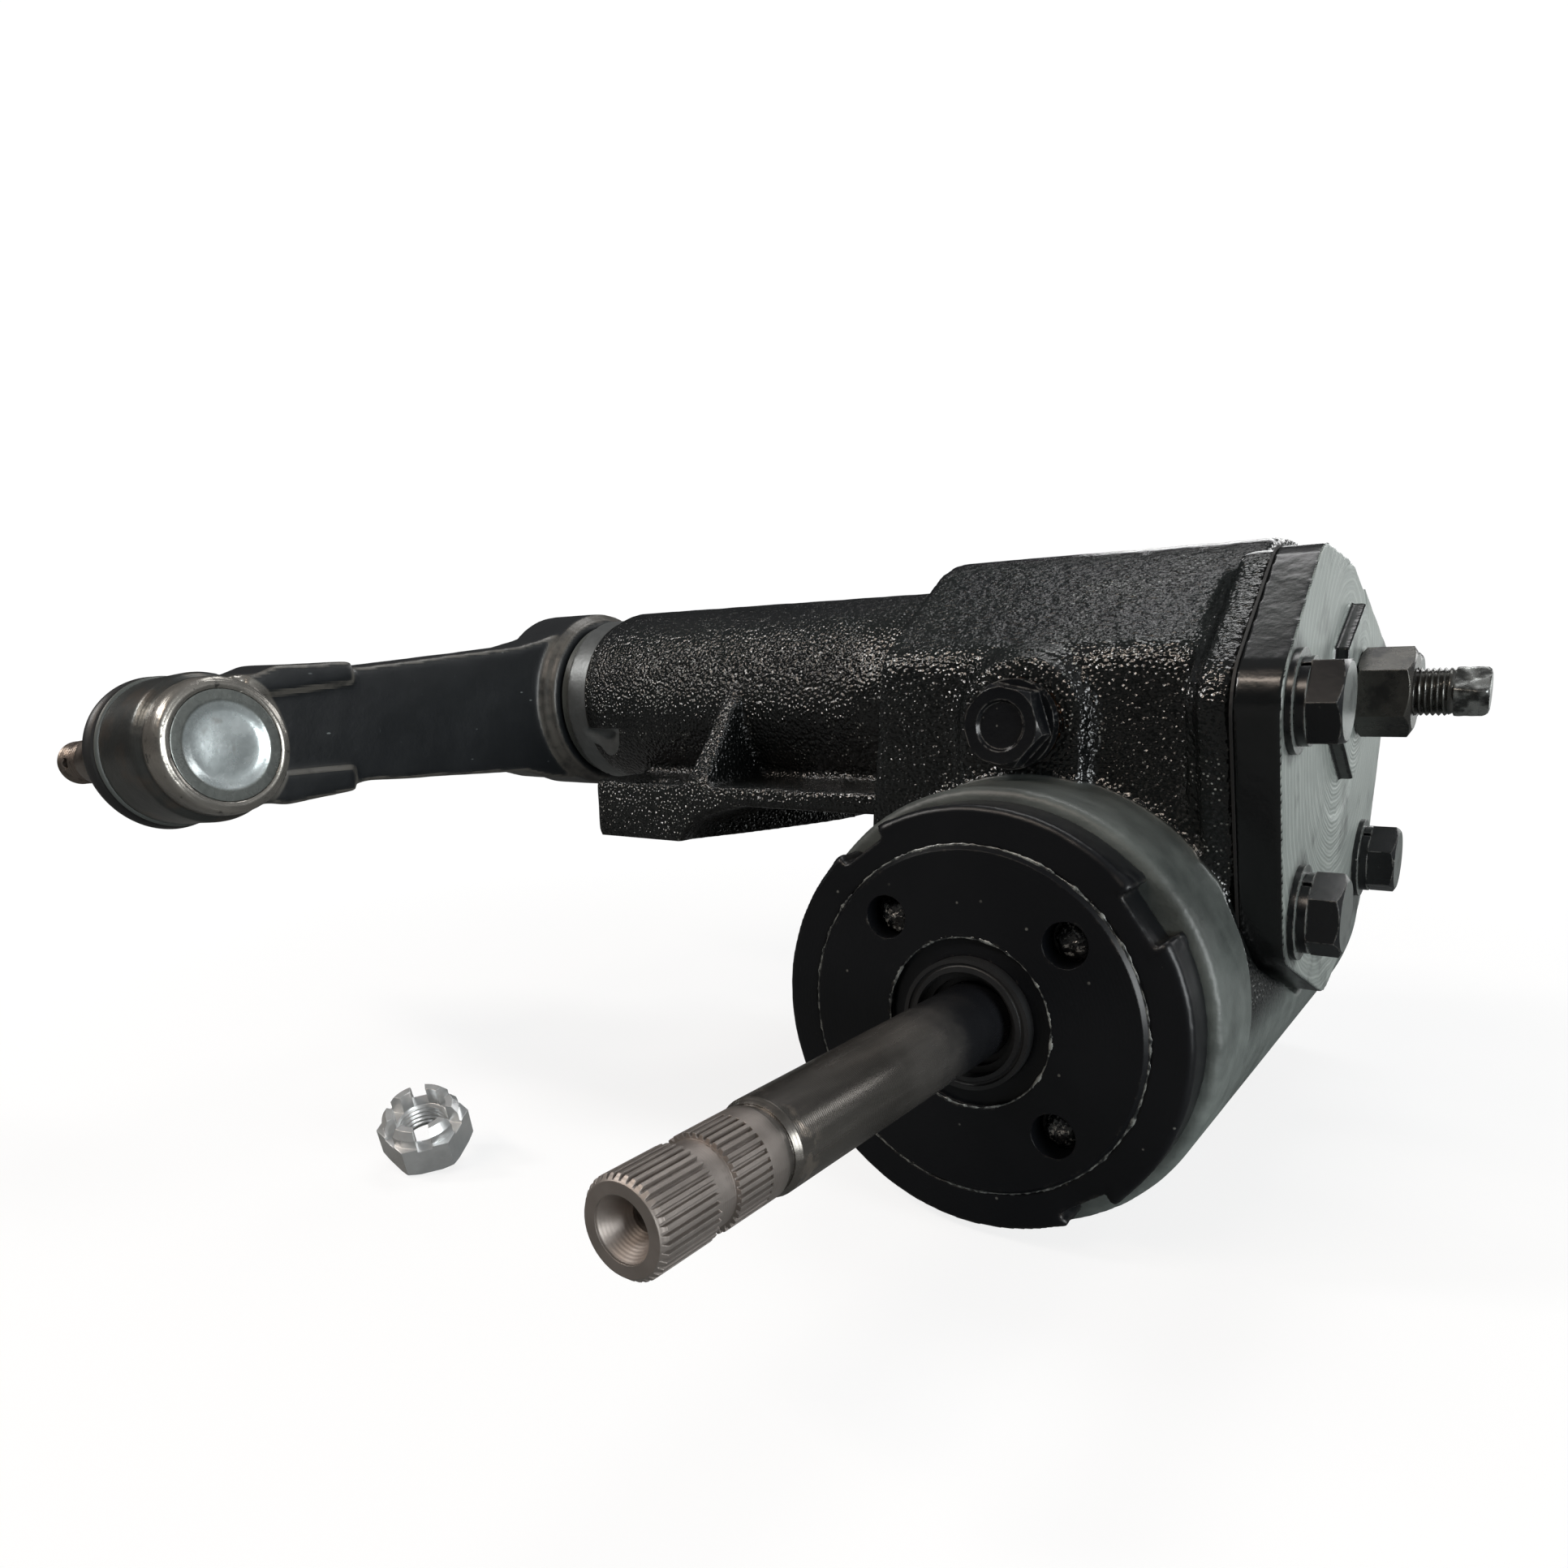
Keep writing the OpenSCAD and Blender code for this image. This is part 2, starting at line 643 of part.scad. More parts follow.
module sector_shaft() {
    color(steel) on_foot() difference() {
        union() {
            intersection() {
                prismX(-gear_half, gear_half, sector_outline);
                cylX(tip_r + 1, -gear_half, gear_half);
            }
            cylX(20, -gear_half, gear_half);
            cylX(sector_r, shaft_spline_x, -gear_half + lap);
            cylX(13, gear_half - lap, 37);
            prismX(-189, shaft_spline_x + lap,
                serrated(shaft_spline_n, shaft_spline_r, shaft_spline_root_r));
            cylX(arm_thread_r, -207, -189 + lap);
        }
        // slot for the lash screw's head, open to the +Y side
        cylX(8.3, lash_slot_x, 34.1);
        box([lash_slot_x, 0, -8.3], [34.1, 20, 8.3]);
        cylX(5.3, 29, 38);
        box([lash_slot_x, 0, -5.3], [lash_slot_x + 10, 20, 5.3]);
        // centre hole in the threaded end
        cylX(3, -208, -202, 0.6);
    }
}
module lash_screw() {
    color(dark_steel) on_foot() difference() {
        turnedX([
            [8, 29.5, 32.9],
            [lash_screw_r, 32.9 - lap, 70.6],
            [lash_screw_r, 70.6 - lap, 74.7, 4.3]]);
        // tapered square drive
        for (k = [0:3]) rotate([45 + 90 * k, 0, 0])
            translate([68.8, -6, 3.9]) rotate([0, 5, 0]) cube([8, 12, 4]);
        // run-out groove behind the thread
        ringX(6, 4.3, 67.6, 68.6);
    }
}
module lash_shim() { color(zinc) on_foot() ringX(8, 5.05, 33, 33.8); }
module lash_locknut() {
    height = 10.4;
    color(dark_steel) on_foot() difference() {
        intersection() {
            hexX(16.1, boss_x, boss_x + height);
            turnedX([
                [7.9, boss_x, boss_x + 0.9 + lap, 9.5],
                [9.5, boss_x + 0.9, boss_x + 9.3],
                [9.5, boss_x + 9.3 - lap, boss_x + height, 7.6]]);
        }
        cylX(lash_screw_r + 0.05, 40, 80);
    }
}
module sector_bush(x0, x1) { ringX(bush_r, sector_r + 0.05, x0, x1); }
module sector_bush_outer() { color(bush_yellow) on_foot() sector_bush(-150, -122); }
module sector_bush_inner() { color(bush_yellow) on_foot() sector_bush(-52, -20); }
module cover_bush() { color(bush_yellow) on_foot() ringX(cover_bush_r, 13.05, 26, 38.5); }
module sector_seal() {
    color(seal_black) on_foot() difference() {
        turnedX([
            [seal_r, spigot_end + 1, seal_seat_x],
            [23.6, spigot_end - 2.7, spigot_end - lap],
            [20.6, spigot_end - 0.5, spigot_end + 1.5]]);
        cylX(sector_r + 0.06, -170, -140);
        cylX(18.5, -158.5, -140);
    }
}

// ---------- filler plug ----------
module filler_plug() {
    color(black_gloss) on_foot() at_filler() difference() {
        union() {
            turnedY([
                [6, -53.4, -41],
                [9.1, -56.2, -54.5],
                [9.1, -57, -56.2 + lap],
                [6, -55, -53.3]]);
            // hexagonal head
            rotate([0, 12, 0]) translate([0, -62.2, 0]) rotate([-90, 0, 0]) intersection() {
                cylinder(r = 15 / sqrt(3), h = 7, $fn = 6);
                cylinder(r1 = 7.6, r2 = 14.6, h = 7);
            }
        }
        cylY(5.6, -63, -61.5, 4.6);
    }
}
module filler_plug_washer() {
    color(washer_brown) on_foot() at_filler() ringY(8.6, 6.05, -54.5, filler_face_y);
}

// ---------- pitman arm ----------
hub_face_x = -190.5;        // hub's face under the lock washer
arm_nut_x = -194;
// Flat bar, then the thicker lugs where it meets the socket, [y, z]
bar_outline = [[-14, 22.5], [-24, 19.3], [-33, 17.3], [-89, 11.8],
    [-124, 10.5], [-128, -22], [-89, -18.3], [-34, -20.4], [-24, -23.2], [-14, -24.5]];
upper_lug = [[-92, 13.2], [-113, 12.6], [-121, 9.8], [-121, 5], [-92, 8]];
lower_lug = [[-94, -20.2], [-114, -22], [-121, -20.5], [-121, -14], [-94, -14]];
// Outside of the ball socket, in the ball-joint frame
socket_rows = [
    [17.9, -12.4, 4.5],
    [17.9, 4.5 - lap, 6.3, 16.1],
    [16.1, 6.3 - lap, 12.2],
    [16.1, 12.2 - lap, 13, 15.3],
    [16.4, -13.2, -12.4 + lap]];

module pitman_arm() {
    spline_gap = 0.06;
    color(black_gloss) on_foot() difference() {
        union() {
            // hub
            turnedX([
                [27.4, -188, -169],
                [25.8, -169 - lap, -166.5],
                [27.4, hub_face_x, -188 + lap]]);
            prismX(-187, -171.5, bar_outline);
            for (lug = [upper_lug, lower_lug]) prismX(-189, -170, lug);
            at_ball() turnedX(socket_rows);
        }
        prismX(-192, -160, serrated(shaft_spline_n, shaft_spline_r + spline_gap,
            shaft_spline_root_r + spline_gap));
        // socket bore, open at the cap end
        at_ball() turnedX([[13.2, -9, 14], [11.5, -14, -9 + lap, 9.5]]);
    }
}
module arm_lock_washer() {
    color(dark_steel) on_foot() difference() {
        ringX(17.4, 11.2, arm_nut_x, hub_face_x);
        // split
        rotate([20, 0, 0]) box([-195, -0.8, 9], [-189, 0.8, 21]);
    }
}
module arm_nut() {
    color(dark_steel) on_foot() difference() {
        mirror([1, 0, 0]) hex_headX(32, -arm_nut_x, 205, 10);
        cylX(arm_thread_r + 0.04, -210, -190);
    }
}

// ---------- ball joint ----------
seat_r = 13.14;
// Ball side of the outer seat, [radius, x]
outer_seat_x = 7.3;
outer_seat_curve = [for (k = [0:10]) let (x = outer_seat_x - 7.1 * k / 10)
    [sqrt(pow(ball_r + 0.06, 2) - x * x), x]];
// Section of the dust boot, [radius, x]
boot_section = [[7.95, -32.5], [7.95, -27.6], [9.5, -26], [13, -19.5], [15.5, -19.5],
    [15.2, -23], [9.6, -28.8], [9.6, -32.5]];

module socket_cap() {
    color(zinc) on_foot() at_ball() difference() {
        cylX(13.16, 9.3, 12.8);
        cylX(8.6, 12, 13, 10);
        sphere(r = ball_r + 0.1);
    }
}
module seat_spring() {
    color(steel) on_foot() at_ball() spunX()
        polygon([[9.3, 8.5], [9.3, 9.25], [12.6, 8.1], [12.6, 7.35]]);
}
module outer_ball_seat() {
    color(seat_white) on_foot() at_ball() spunX()
        polygon(concat([[seat_r, 0.2], [seat_r, outer_seat_x]], outer_seat_curve));
}
module inner_ball_seat() {
    color(seat_white) on_foot() at_ball() difference() {
        cylX(seat_r, -8.9, -0.1);
        sphere(r = ball_r + 0.05);
        cylX(8.9, -10, -7, 8.5);
    }
}
module boot_ring() { color(zinc) on_foot() at_ball() wire_ringX(17, 0.85, -14.1); }
module boot_clip() { color(zinc) on_foot() at_ball() wire_ringX(10.4, 0.75, -30.6); }
module dust_boot() { color(boot_black) on_foot() at_ball() spunX() polygon(boot_section); }
module ball_stud() {
    color(steel) on_foot() at_ball() difference() {
        union() {
            // ball with a flat on its cap side
            difference() {
                sphere(r = ball_r);
                cylX(8, 8.6, 12);
            }
            turnedX([
                [5.6, -28, -8],
                [7.9, -33, -27.5],
                [6.55, -54, -33 + lap, 7.7],
                [stud_thread_r, -66, -54 + lap],
                [5.1, -68.4, -66 + lap, stud_thread_r]]);
        }
        // cotter hole
        translate([-62, 0, 0]) cylY(1.6, -10, 10);
    }
}
// Castellated nut of the ball stud, loose beside the gearbox, propped on one corner
module castle_nut() {
    color(zinc) on_foot() translate([-121.5, -117, -99.8])
        rotate([0, 24.5, -53.2]) rotate([0, 0, 46]) difference() {
            union() {
                intersection() {
                    cylinder(r = 18 / sqrt(3), h = 8, $fn = 6);
                    turnedZ([[9.3, 0, 0.8 + lap, 10.6], [10.6, 0.8, 8]]);
                }
                turnedZ([[8.7, 8 - lap, 10.4], [8.7, 10.4 - lap, 12.2, 7.5]]);
            }
            cylZ(stud_thread_r + 0.05, -1, 14);
            cylZ(6.9, -1, 0.6, stud_thread_r);
            // cotter slots
            for (k = [0:2]) rotate([0, 0, 30 + 60 * k]) box([-14, -1.7, 7.2], [14, 1.7, 15.2]);
        }
}

housing();
side_cover();
cover_gasket();
cover_bolts();
cover_lock_washers();
cover_flat_washers();
bearing_adjuster();
adjuster_lock_ring();
input_seal();
upper_bearing_cup();
lower_bearing_cup();
sector_bush_outer();
sector_bush_inner();
cover_bush();
sector_seal();
filler_plug();
filler_plug_washer();
lash_locknut();
castle_nut();
worm_shaft();
upper_bearing_cage();
upper_bearing_balls();
lower_bearing_cage();
lower_bearing_balls();
ball_nut();
nut_balls();
ball_guides();
guide_clamp();
guide_clamp_screws();
sector_shaft();
pitman_arm();
arm_nut();
arm_lock_washer();
socket_cap();
inner_ball_seat();
outer_ball_seat();
seat_spring();
boot_ring();
lash_screw();
lash_shim();
dust_boot();
boot_clip();
ball_stud();
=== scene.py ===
# Steering gear box. The sector shaft lies along X with its side cover at +X; the worm shaft lies
# along Y below it, with its input end, bearing adjuster and lock ring at -Y. The pitman arm sits
# at the sector shaft's -X end and carries a ball stud.
# Places are measured from ORIGIN, where the sector axis crosses above the worm axis.
# The frame is in metres; profiles, textures and small sizes are in millimetres, times MM.
import json
import math
from functools import cached_property

import bpy
import bmesh
import numpy as np
from mathutils import Vector, Matrix, noise
from mathutils.bvhtree import BVHTree


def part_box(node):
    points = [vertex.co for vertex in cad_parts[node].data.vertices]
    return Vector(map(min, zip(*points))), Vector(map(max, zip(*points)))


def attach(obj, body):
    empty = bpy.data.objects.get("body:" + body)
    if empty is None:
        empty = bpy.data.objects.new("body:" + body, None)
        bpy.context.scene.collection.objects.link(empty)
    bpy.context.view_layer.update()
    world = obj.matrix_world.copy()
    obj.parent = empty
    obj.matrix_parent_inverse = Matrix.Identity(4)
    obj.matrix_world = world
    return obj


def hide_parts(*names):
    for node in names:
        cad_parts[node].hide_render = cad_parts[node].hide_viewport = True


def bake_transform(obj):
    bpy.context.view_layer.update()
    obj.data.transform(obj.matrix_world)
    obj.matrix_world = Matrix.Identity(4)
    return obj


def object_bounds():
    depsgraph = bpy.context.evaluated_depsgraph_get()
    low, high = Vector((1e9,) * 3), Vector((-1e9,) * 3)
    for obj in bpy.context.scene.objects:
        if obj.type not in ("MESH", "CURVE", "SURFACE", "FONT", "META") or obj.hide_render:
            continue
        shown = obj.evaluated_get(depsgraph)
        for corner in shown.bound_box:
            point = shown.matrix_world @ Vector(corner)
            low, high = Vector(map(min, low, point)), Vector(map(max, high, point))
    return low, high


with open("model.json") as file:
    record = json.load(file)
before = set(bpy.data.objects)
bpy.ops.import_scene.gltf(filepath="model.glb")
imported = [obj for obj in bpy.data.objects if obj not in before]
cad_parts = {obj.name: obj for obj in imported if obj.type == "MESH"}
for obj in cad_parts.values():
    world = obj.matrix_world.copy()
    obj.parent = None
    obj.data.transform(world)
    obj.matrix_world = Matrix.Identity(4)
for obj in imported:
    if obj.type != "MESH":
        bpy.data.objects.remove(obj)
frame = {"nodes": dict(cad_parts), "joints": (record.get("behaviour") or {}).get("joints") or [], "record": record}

CAD = frame["nodes"]
CAD_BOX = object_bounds()
MM = 0.001
scene = bpy.context.scene

# ---------- places and sizes read from the frame ----------
JOINTS = {joint["name"]: joint for joint in frame["joints"]}
SLOT_OF = {part["node"]: part["material_slot"] for part in frame["record"]["subparts"]}
ORIGIN = Vector(JOINTS["sector_swing"]["pos_m"])
ORIGIN.y = 0.0
BODY = "gear_case"


def local_box(node):
    """Low and high corners of a CAD piece, from ORIGIN."""
    low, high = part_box(node)
    return low - ORIGIN, high - ORIGIN


ring_low, ring_high = local_box("adjuster_lock_ring")
adjuster_low, adjuster_high = local_box("bearing_adjuster")
gasket_low, gasket_high = local_box("cover_gasket")
WORM_Z = (ring_low.z + ring_high.z) / 2
RING_FRONT = ring_low.y                         # the ring's -Y face
RING_RADIUS = (ring_high.x - ring_low.x) / 2
ADJUSTER_FRONT = adjuster_low.y
ADJUSTER_RADIUS = (adjuster_high.x - adjuster_low.x) / 2
WORM_Z_MM = WORM_Z / MM
RING_RADIUS_MM = RING_RADIUS / MM
COVER_FACE = local_box("side_cover")[1].x / MM
GASKET_INNER, GASKET_OUTER = gasket_low.x / MM, gasket_high.x / MM
SCREW_END = local_box("lash_screw")[1].x / MM
SHAFT_TIP = local_box("worm_shaft")[0].y / MM
FLOOR_Z = CAD_BOX[0][2]

# the ball's own frame: local X is the stud's axis, towards the socket cap
BALL = Vector(JOINTS["stud_spin"]["pos_m"]) - ORIGIN
BALL_AXIS = -Vector(JOINTS["stud_spin"]["axis"]).normalized()
BALL_SIDE = Vector((0, 1, 0))
BALL_MATRIX = Matrix.Translation(BALL) @ Matrix(
    (BALL_AXIS, BALL_SIDE, BALL_AXIS.cross(BALL_SIDE).normalized())).transposed().to_4x4()

# ---------- sizes shared by materials and meshes ----------
BOSS_FLATS = 32.0                               # hex boss on the side cover, across flats, mm
NOTCH_ANGLES = [36.5 + 90 * k for k in range(4)]    # lock ring notches, degrees from +X
DRIVE_BACK = SCREW_END - 6.6                    # lash screw: end of thread, start of square, mm


# ---------- shader nodes ----------
def add_node(tree, kind, inputs=None, **settings):
    """Add a node with the given properties; inputs maps sockets to values, fields or nodes."""
    node = tree.nodes.new("ShaderNode" + kind)
    for key, value in settings.items():
        setattr(node, key, value)
    for key, value in (inputs or {}).items():
        feed(tree, value, node.inputs[key])
    return node


def feed(tree, value, socket):
    """Link or set one input; a colour of three numbers gets alpha 1."""
    if isinstance(value, Field):
        value = value.socket
    elif isinstance(value, bpy.types.Node):
        value = value.outputs[0]
    if isinstance(value, bpy.types.NodeSocket):
        tree.links.new(value, socket)
    elif isinstance(value, tuple) and len(value) != len(socket.default_value):
        socket.default_value = (*value, 1.0)
    else:
        socket.default_value = value


class Field:
    """A shader value that varies over the surface; arithmetic on it adds Math nodes."""

    def __init__(self, shader, socket):
        self.shader = shader
        self.socket = socket

    def __add__(self, other):
        return self.shader.math("ADD", self, other)

    def __sub__(self, other):
        return self.shader.math("SUBTRACT", self, other)

    def __rsub__(self, other):
        return self.shader.math("SUBTRACT", other, self)

    def __mul__(self, other):
        return self.shader.math("MULTIPLY", self, other)

    def __lt__(self, other):
        return self.shader.math("LESS_THAN", self, other)

    def __abs__(self):
        return self.shader.math("ABSOLUTE", self)

    def max(self, other, clamp=False):
        return self.shader.math("MAXIMUM", self, other, clamp)

    def sqrt(self):
        return self.shader.math("SQRT", self)

    def wave(self, pitch):
        return self.shader.math("SINE", self * (2 * math.pi / pitch))

    def ramp(self, start, end, before=0.0, after=1.0):
        """Smooth map of start..end to before..after."""
        return self.shader.node("MapRange", {
            "Value": self, "From Min": start, "From Max": end,
            "To Min": before, "To Max": after}, interpolation_type="SMOOTHSTEP")

    def fall(self, start, end):
        return self.ramp(start, end, before=1.0, after=0.0)

    def band(self, low, high, soft):
        """1 between low and high, with edges softened either way by soft."""
        return self.ramp(low - soft, low + soft) * self.fall(high - soft, high + soft)

    def blend(self, low, high):
        """Colour low where this is 0, high where it is 1."""
        return self.shader.node("Mix", {0: self, 6: low, 7: high}, output=2, data_type="RGBA")

    def between(self, low, high):
        """Number low where this is 0, high where it is 1."""
        return self.shader.node("Mix", {0: self, 2: low, 3: high}, data_type="FLOAT")

    def tint(self, mask, color):
        """This colour with another laid over it through a mask."""
        return mask.blend(self, color)


def radius(across, upward, centre):
    """Distance of two coordinates from a centre."""
    across = across - centre[0]
    upward = upward - centre[1]
    return (across * across + upward * upward).sqrt()


MATERIALS = {}


class Shader:
    """A Principled material textured in millimetres from ORIGIN."""

    SOCKETS = {"color": "Base Color", "rough": "Roughness", "metal": "Metallic",
               "normal": "Normal", "coat": "Coat Weight", "coat_rough": "Coat Roughness",
               "spec": "Specular IOR Level"}

    def __init__(self, name):
        self.name = name
        self.material = bpy.data.materials.new(name)
        self.material.use_nodes = True
        self.tree = self.material.node_tree
        self.tree.nodes.clear()
        self.surface = add_node(self.tree, "BsdfPrincipled")
        add_node(self.tree, "OutputMaterial", {0: self.surface})

    def finish(self, **looks):
        """Feed the Principled shader and file the material under its name."""
        for key, value in looks.items():
            feed(self.tree, value, self.surface.inputs[self.SOCKETS[key]])
        MATERIALS[self.name] = self.material

    def node(self, kind, inputs=None, output=0, **settings):
        return Field(self, add_node(self.tree, kind, inputs, **settings).outputs[output])

    def math(self, operation, first, second=0.0, clamp=False):
        return self.node("Math", {0: first, 1: second, 2: 0.0},
                         operation=operation, use_clamp=clamp)

    def vector(self, operation, first, second, output=0):
        return self.node("VectorMath", {0: first, 1: second}, output, operation=operation)

    def length(self, vector):
        return self.node("VectorMath", {0: vector}, "Value", operation="LENGTH")

    def split(self, vector):
        parts = add_node(self.tree, "SeparateXYZ", {0: vector})
        return [Field(self, socket) for socket in parts.outputs]

    @cached_property
    def position(self):
        metres = self.node("TexCoord", output="Object")
        return self.vector("SUBTRACT", self.vector("MULTIPLY", metres, (1000, 1000, 1000)),
                           tuple(v / MM for v in ORIGIN))

    @cached_property
    def axes(self):
        return self.split(self.position)

    @cached_property
    def geometry(self):
        return add_node(self.tree, "NewGeometry")

    @cached_property
    def facing(self):
        """X, Y and Z of the flat normal."""
        return self.split(self.node(
            "VectorTransform", {0: self.geometry.outputs["True Normal"]},
            vector_type="NORMAL", convert_from="WORLD", convert_to="OBJECT"))

    x = property(lambda self: self.axes[0])
    y = property(lambda self: self.axes[1])
    z = property(lambda self: self.axes[2])

    @property
    def pointiness(self):
        """High on convex edges and low in hollows of a dense skin."""
        return Field(self, self.geometry.outputs["Pointiness"])

    def scaled(self, x, y, z):
        return self.vector("MULTIPLY", self.position, (x, y, z))

    def from_ball(self):
        """Offset from the ball's centre, and its part along the stud's axis."""
        offset = self.vector("SUBTRACT", self.position, tuple(v / MM for v in BALL))
        return offset, self.vector("DOT_PRODUCT", offset, tuple(BALL_AXIS), "Value")

    def noise(self, size, detail=3, rough=0.5, vector=None, distortion=0.0):
        """Cloudy noise; size is the feature size in mm."""
        return self.node("TexNoise", {
            "Scale": 1.0 / size, "Detail": detail, "Roughness": rough,
            "Distortion": distortion, "Vector": vector or self.position}, "Fac")

    def cells(self, size, vector=None, output="Distance"):
        """Distance to scattered points about size mm apart."""
        return self.node("TexVoronoi", {"Scale": 1.0 / size, "Vector": vector or self.position},
                         output, feature="F1")

    def bump(self, height, depth, strength=1.0, normal=None):
        """Normal of a height field; depth in mm."""
        inputs = {"Strength": strength, "Distance": depth * MM, "Height": height}
        if normal is not None:
            inputs["Normal"] = normal
        return self.node("Bump", inputs)

    def bevel(self, size):
        return self.node("Bevel", {"Radius": size * MM}, samples=3)

    def worn(self, size, start, end):
        """Mask of edges, where the bevelled normal leaves the true one."""
        agreement = self.vector("DOT_PRODUCT", self.bevel(size),
                                self.geometry.outputs["Normal"], "Value")
        return (1.0 - agreement).ramp(start, end)


# ---------- materials ----------
def pebble(mat, size):
    """Cast-iron skin under thick paint: rounded grains with a finer grain between them."""
    grains = mat.node("TexVoronoi", {"Scale": 1.0 / size, "Smoothness": 0.5,
                                     "Vector": mat.position}, "Distance", feature="SMOOTH_F1")
    fine = mat.noise(size=size * 0.8, detail=2, rough=0.55)
    swell = mat.noise(size=size * 3.4, detail=2)
    return (1.0 - grains) * 1.0 + fine * 0.25 + swell * 0.35


def casting_material():
    mat = Shader("casting_paint")
    # barrel ends and underside are turned or ground before painting: smooth, dull grey-green
    barrel = (radius(mat.x, mat.z, centre=(0.0, WORM_Z_MM)).fall(start=45.0, end=45.6)
              * mat.y.fall(start=-50.6, end=-50.0).max(mat.y.ramp(start=50.0, end=50.6)))
    under = mat.z.fall(start=-66.0, end=-57.0)
    smooth = barrel.max(under * 0.88, clamp=True)
    # bare: the seal spigot's -X end, and a round patch on either Y side of it
    patch = radius(mat.x, abs(mat.y), centre=(-150, 33)) < 12.35
    patch = (mat.x.band(low=-164, high=-137.8, soft=0.2)
             * (patch * mat.z.band(low=-21.4, high=-7.6, soft=0.2)))
    spigot = mat.x.fall(start=-154.6, end=-154.1).max(patch, clamp=True)

    # the sloping top keeps long wrinkles, the walls rounder grains
    grains = pebble(mat, size=0.92)
    amount = smooth.between(low=1.0, high=0.10) * spigot.between(low=1.0, high=0.04)
    top = mat.facing[2].ramp(start=0.55, end=0.95)
    wrinkles = mat.noise(size=1.25, rough=0.6, vector=mat.scaled(0.42, 1.0, 1.0))
    walls = grains * mat.x.ramp(start=-62.0, end=-56.0).between(low=1.0, high=0.62)
    skin_normal = mat.bump(top.between(walls, wrinkles * 1.7) * amount, depth=0.55)
    fine = mat.noise(size=0.5, detail=2, rough=0.6)
    normal = mat.bump(fine * smooth.between(low=0.25, high=1.0), depth=0.03, normal=skin_normal)

    patches = mat.noise(size=22, rough=0.55)
    smear = mat.noise(size=7, detail=4, rough=0.6, vector=mat.scaled(0.5, 1.0, 1.6))
    paint = patches.blend(low=(0.0030, 0.0036, 0.0038), high=(0.0062, 0.0072, 0.0070))
    grey = smear.blend(low=(0.052, 0.061, 0.058), high=(0.20, 0.222, 0.208))
    lower = mat.z.ramp(start=-62.0, end=-36.0, before=1.0, after=0.5)
    base = paint.tint(smooth * lower * patches.ramp(start=0.25, end=0.6, before=0.5), grey)

    # painted glints: pale pin-head specks in the base colour, thickest on the -Y wall and in fillets
    glint_specks = mat.cells(size=0.85).fall(start=0.20, end=0.32)
    chosen = mat.cells(size=0.85, output="Color").ramp(start=0.50, end=0.56)
    zone = mat.noise(size=13, rough=0.55).ramp(start=0.46, end=0.66)
    front = mat.facing[1].fall(start=-0.92, end=-0.45)
    fillet = mat.pointiness.fall(start=0.30, end=0.475)
    ridge = mat.pointiness.ramp(start=0.535, end=0.60)
    glint_density = (zone * front.between(low=0.25, high=1.0)).max(fillet * 0.9, clamp=True)
    glint_density = (glint_density * smooth.between(low=1.0, high=0.0)) * spigot.between(low=1.0, high=0.0)
    base = base.tint(glint_specks * chosen * glint_density * 0.8, color=(0.44, 0.46, 0.44))

    # lighter on convex ridges where the paint is rubbed, and in concave fillets as a painted highlight
    ridge_wear_and_fillet_highlight = mat.noise(size=1.2, rough=0.65).ramp(start=0.38, end=0.56)
    ridge_wear_and_fillet_highlight = ((fillet * 0.55).max(ridge, clamp=True)
              * (ridge_wear_and_fillet_highlight * smooth.between(low=1.0, high=0.35)))
    base = base.tint(ridge_wear_and_fillet_highlight * 0.7, color=(0.27, 0.26, 0.24))
    # painted highlight: thin lighter lines along the wrinkle crests of the sloping top
    wrinkle_highlight = (wrinkles.ramp(start=0.62, end=0.70)
              * (top * smooth.between(low=1.0, high=0.0)))
    base = base.tint(wrinkle_highlight * 0.30, color=(0.10, 0.115, 0.11))
    bare = mat.noise(size=3.0, detail=4, rough=0.6).blend(
        low=(0.10, 0.108, 0.110), high=(0.20, 0.212, 0.215))
    rough = smooth.between(mat.noise(size=2.2).between(low=0.13, high=0.24),
                           smear.between(low=0.36, high=0.55))
    mat.finish(color=base.tint(spigot, bare), rough=spigot.between(rough, high=0.42),
               metal=spigot.between(low=0.0, high=0.6), normal=normal,
               spec=smooth.between(low=0.6, high=0.5))


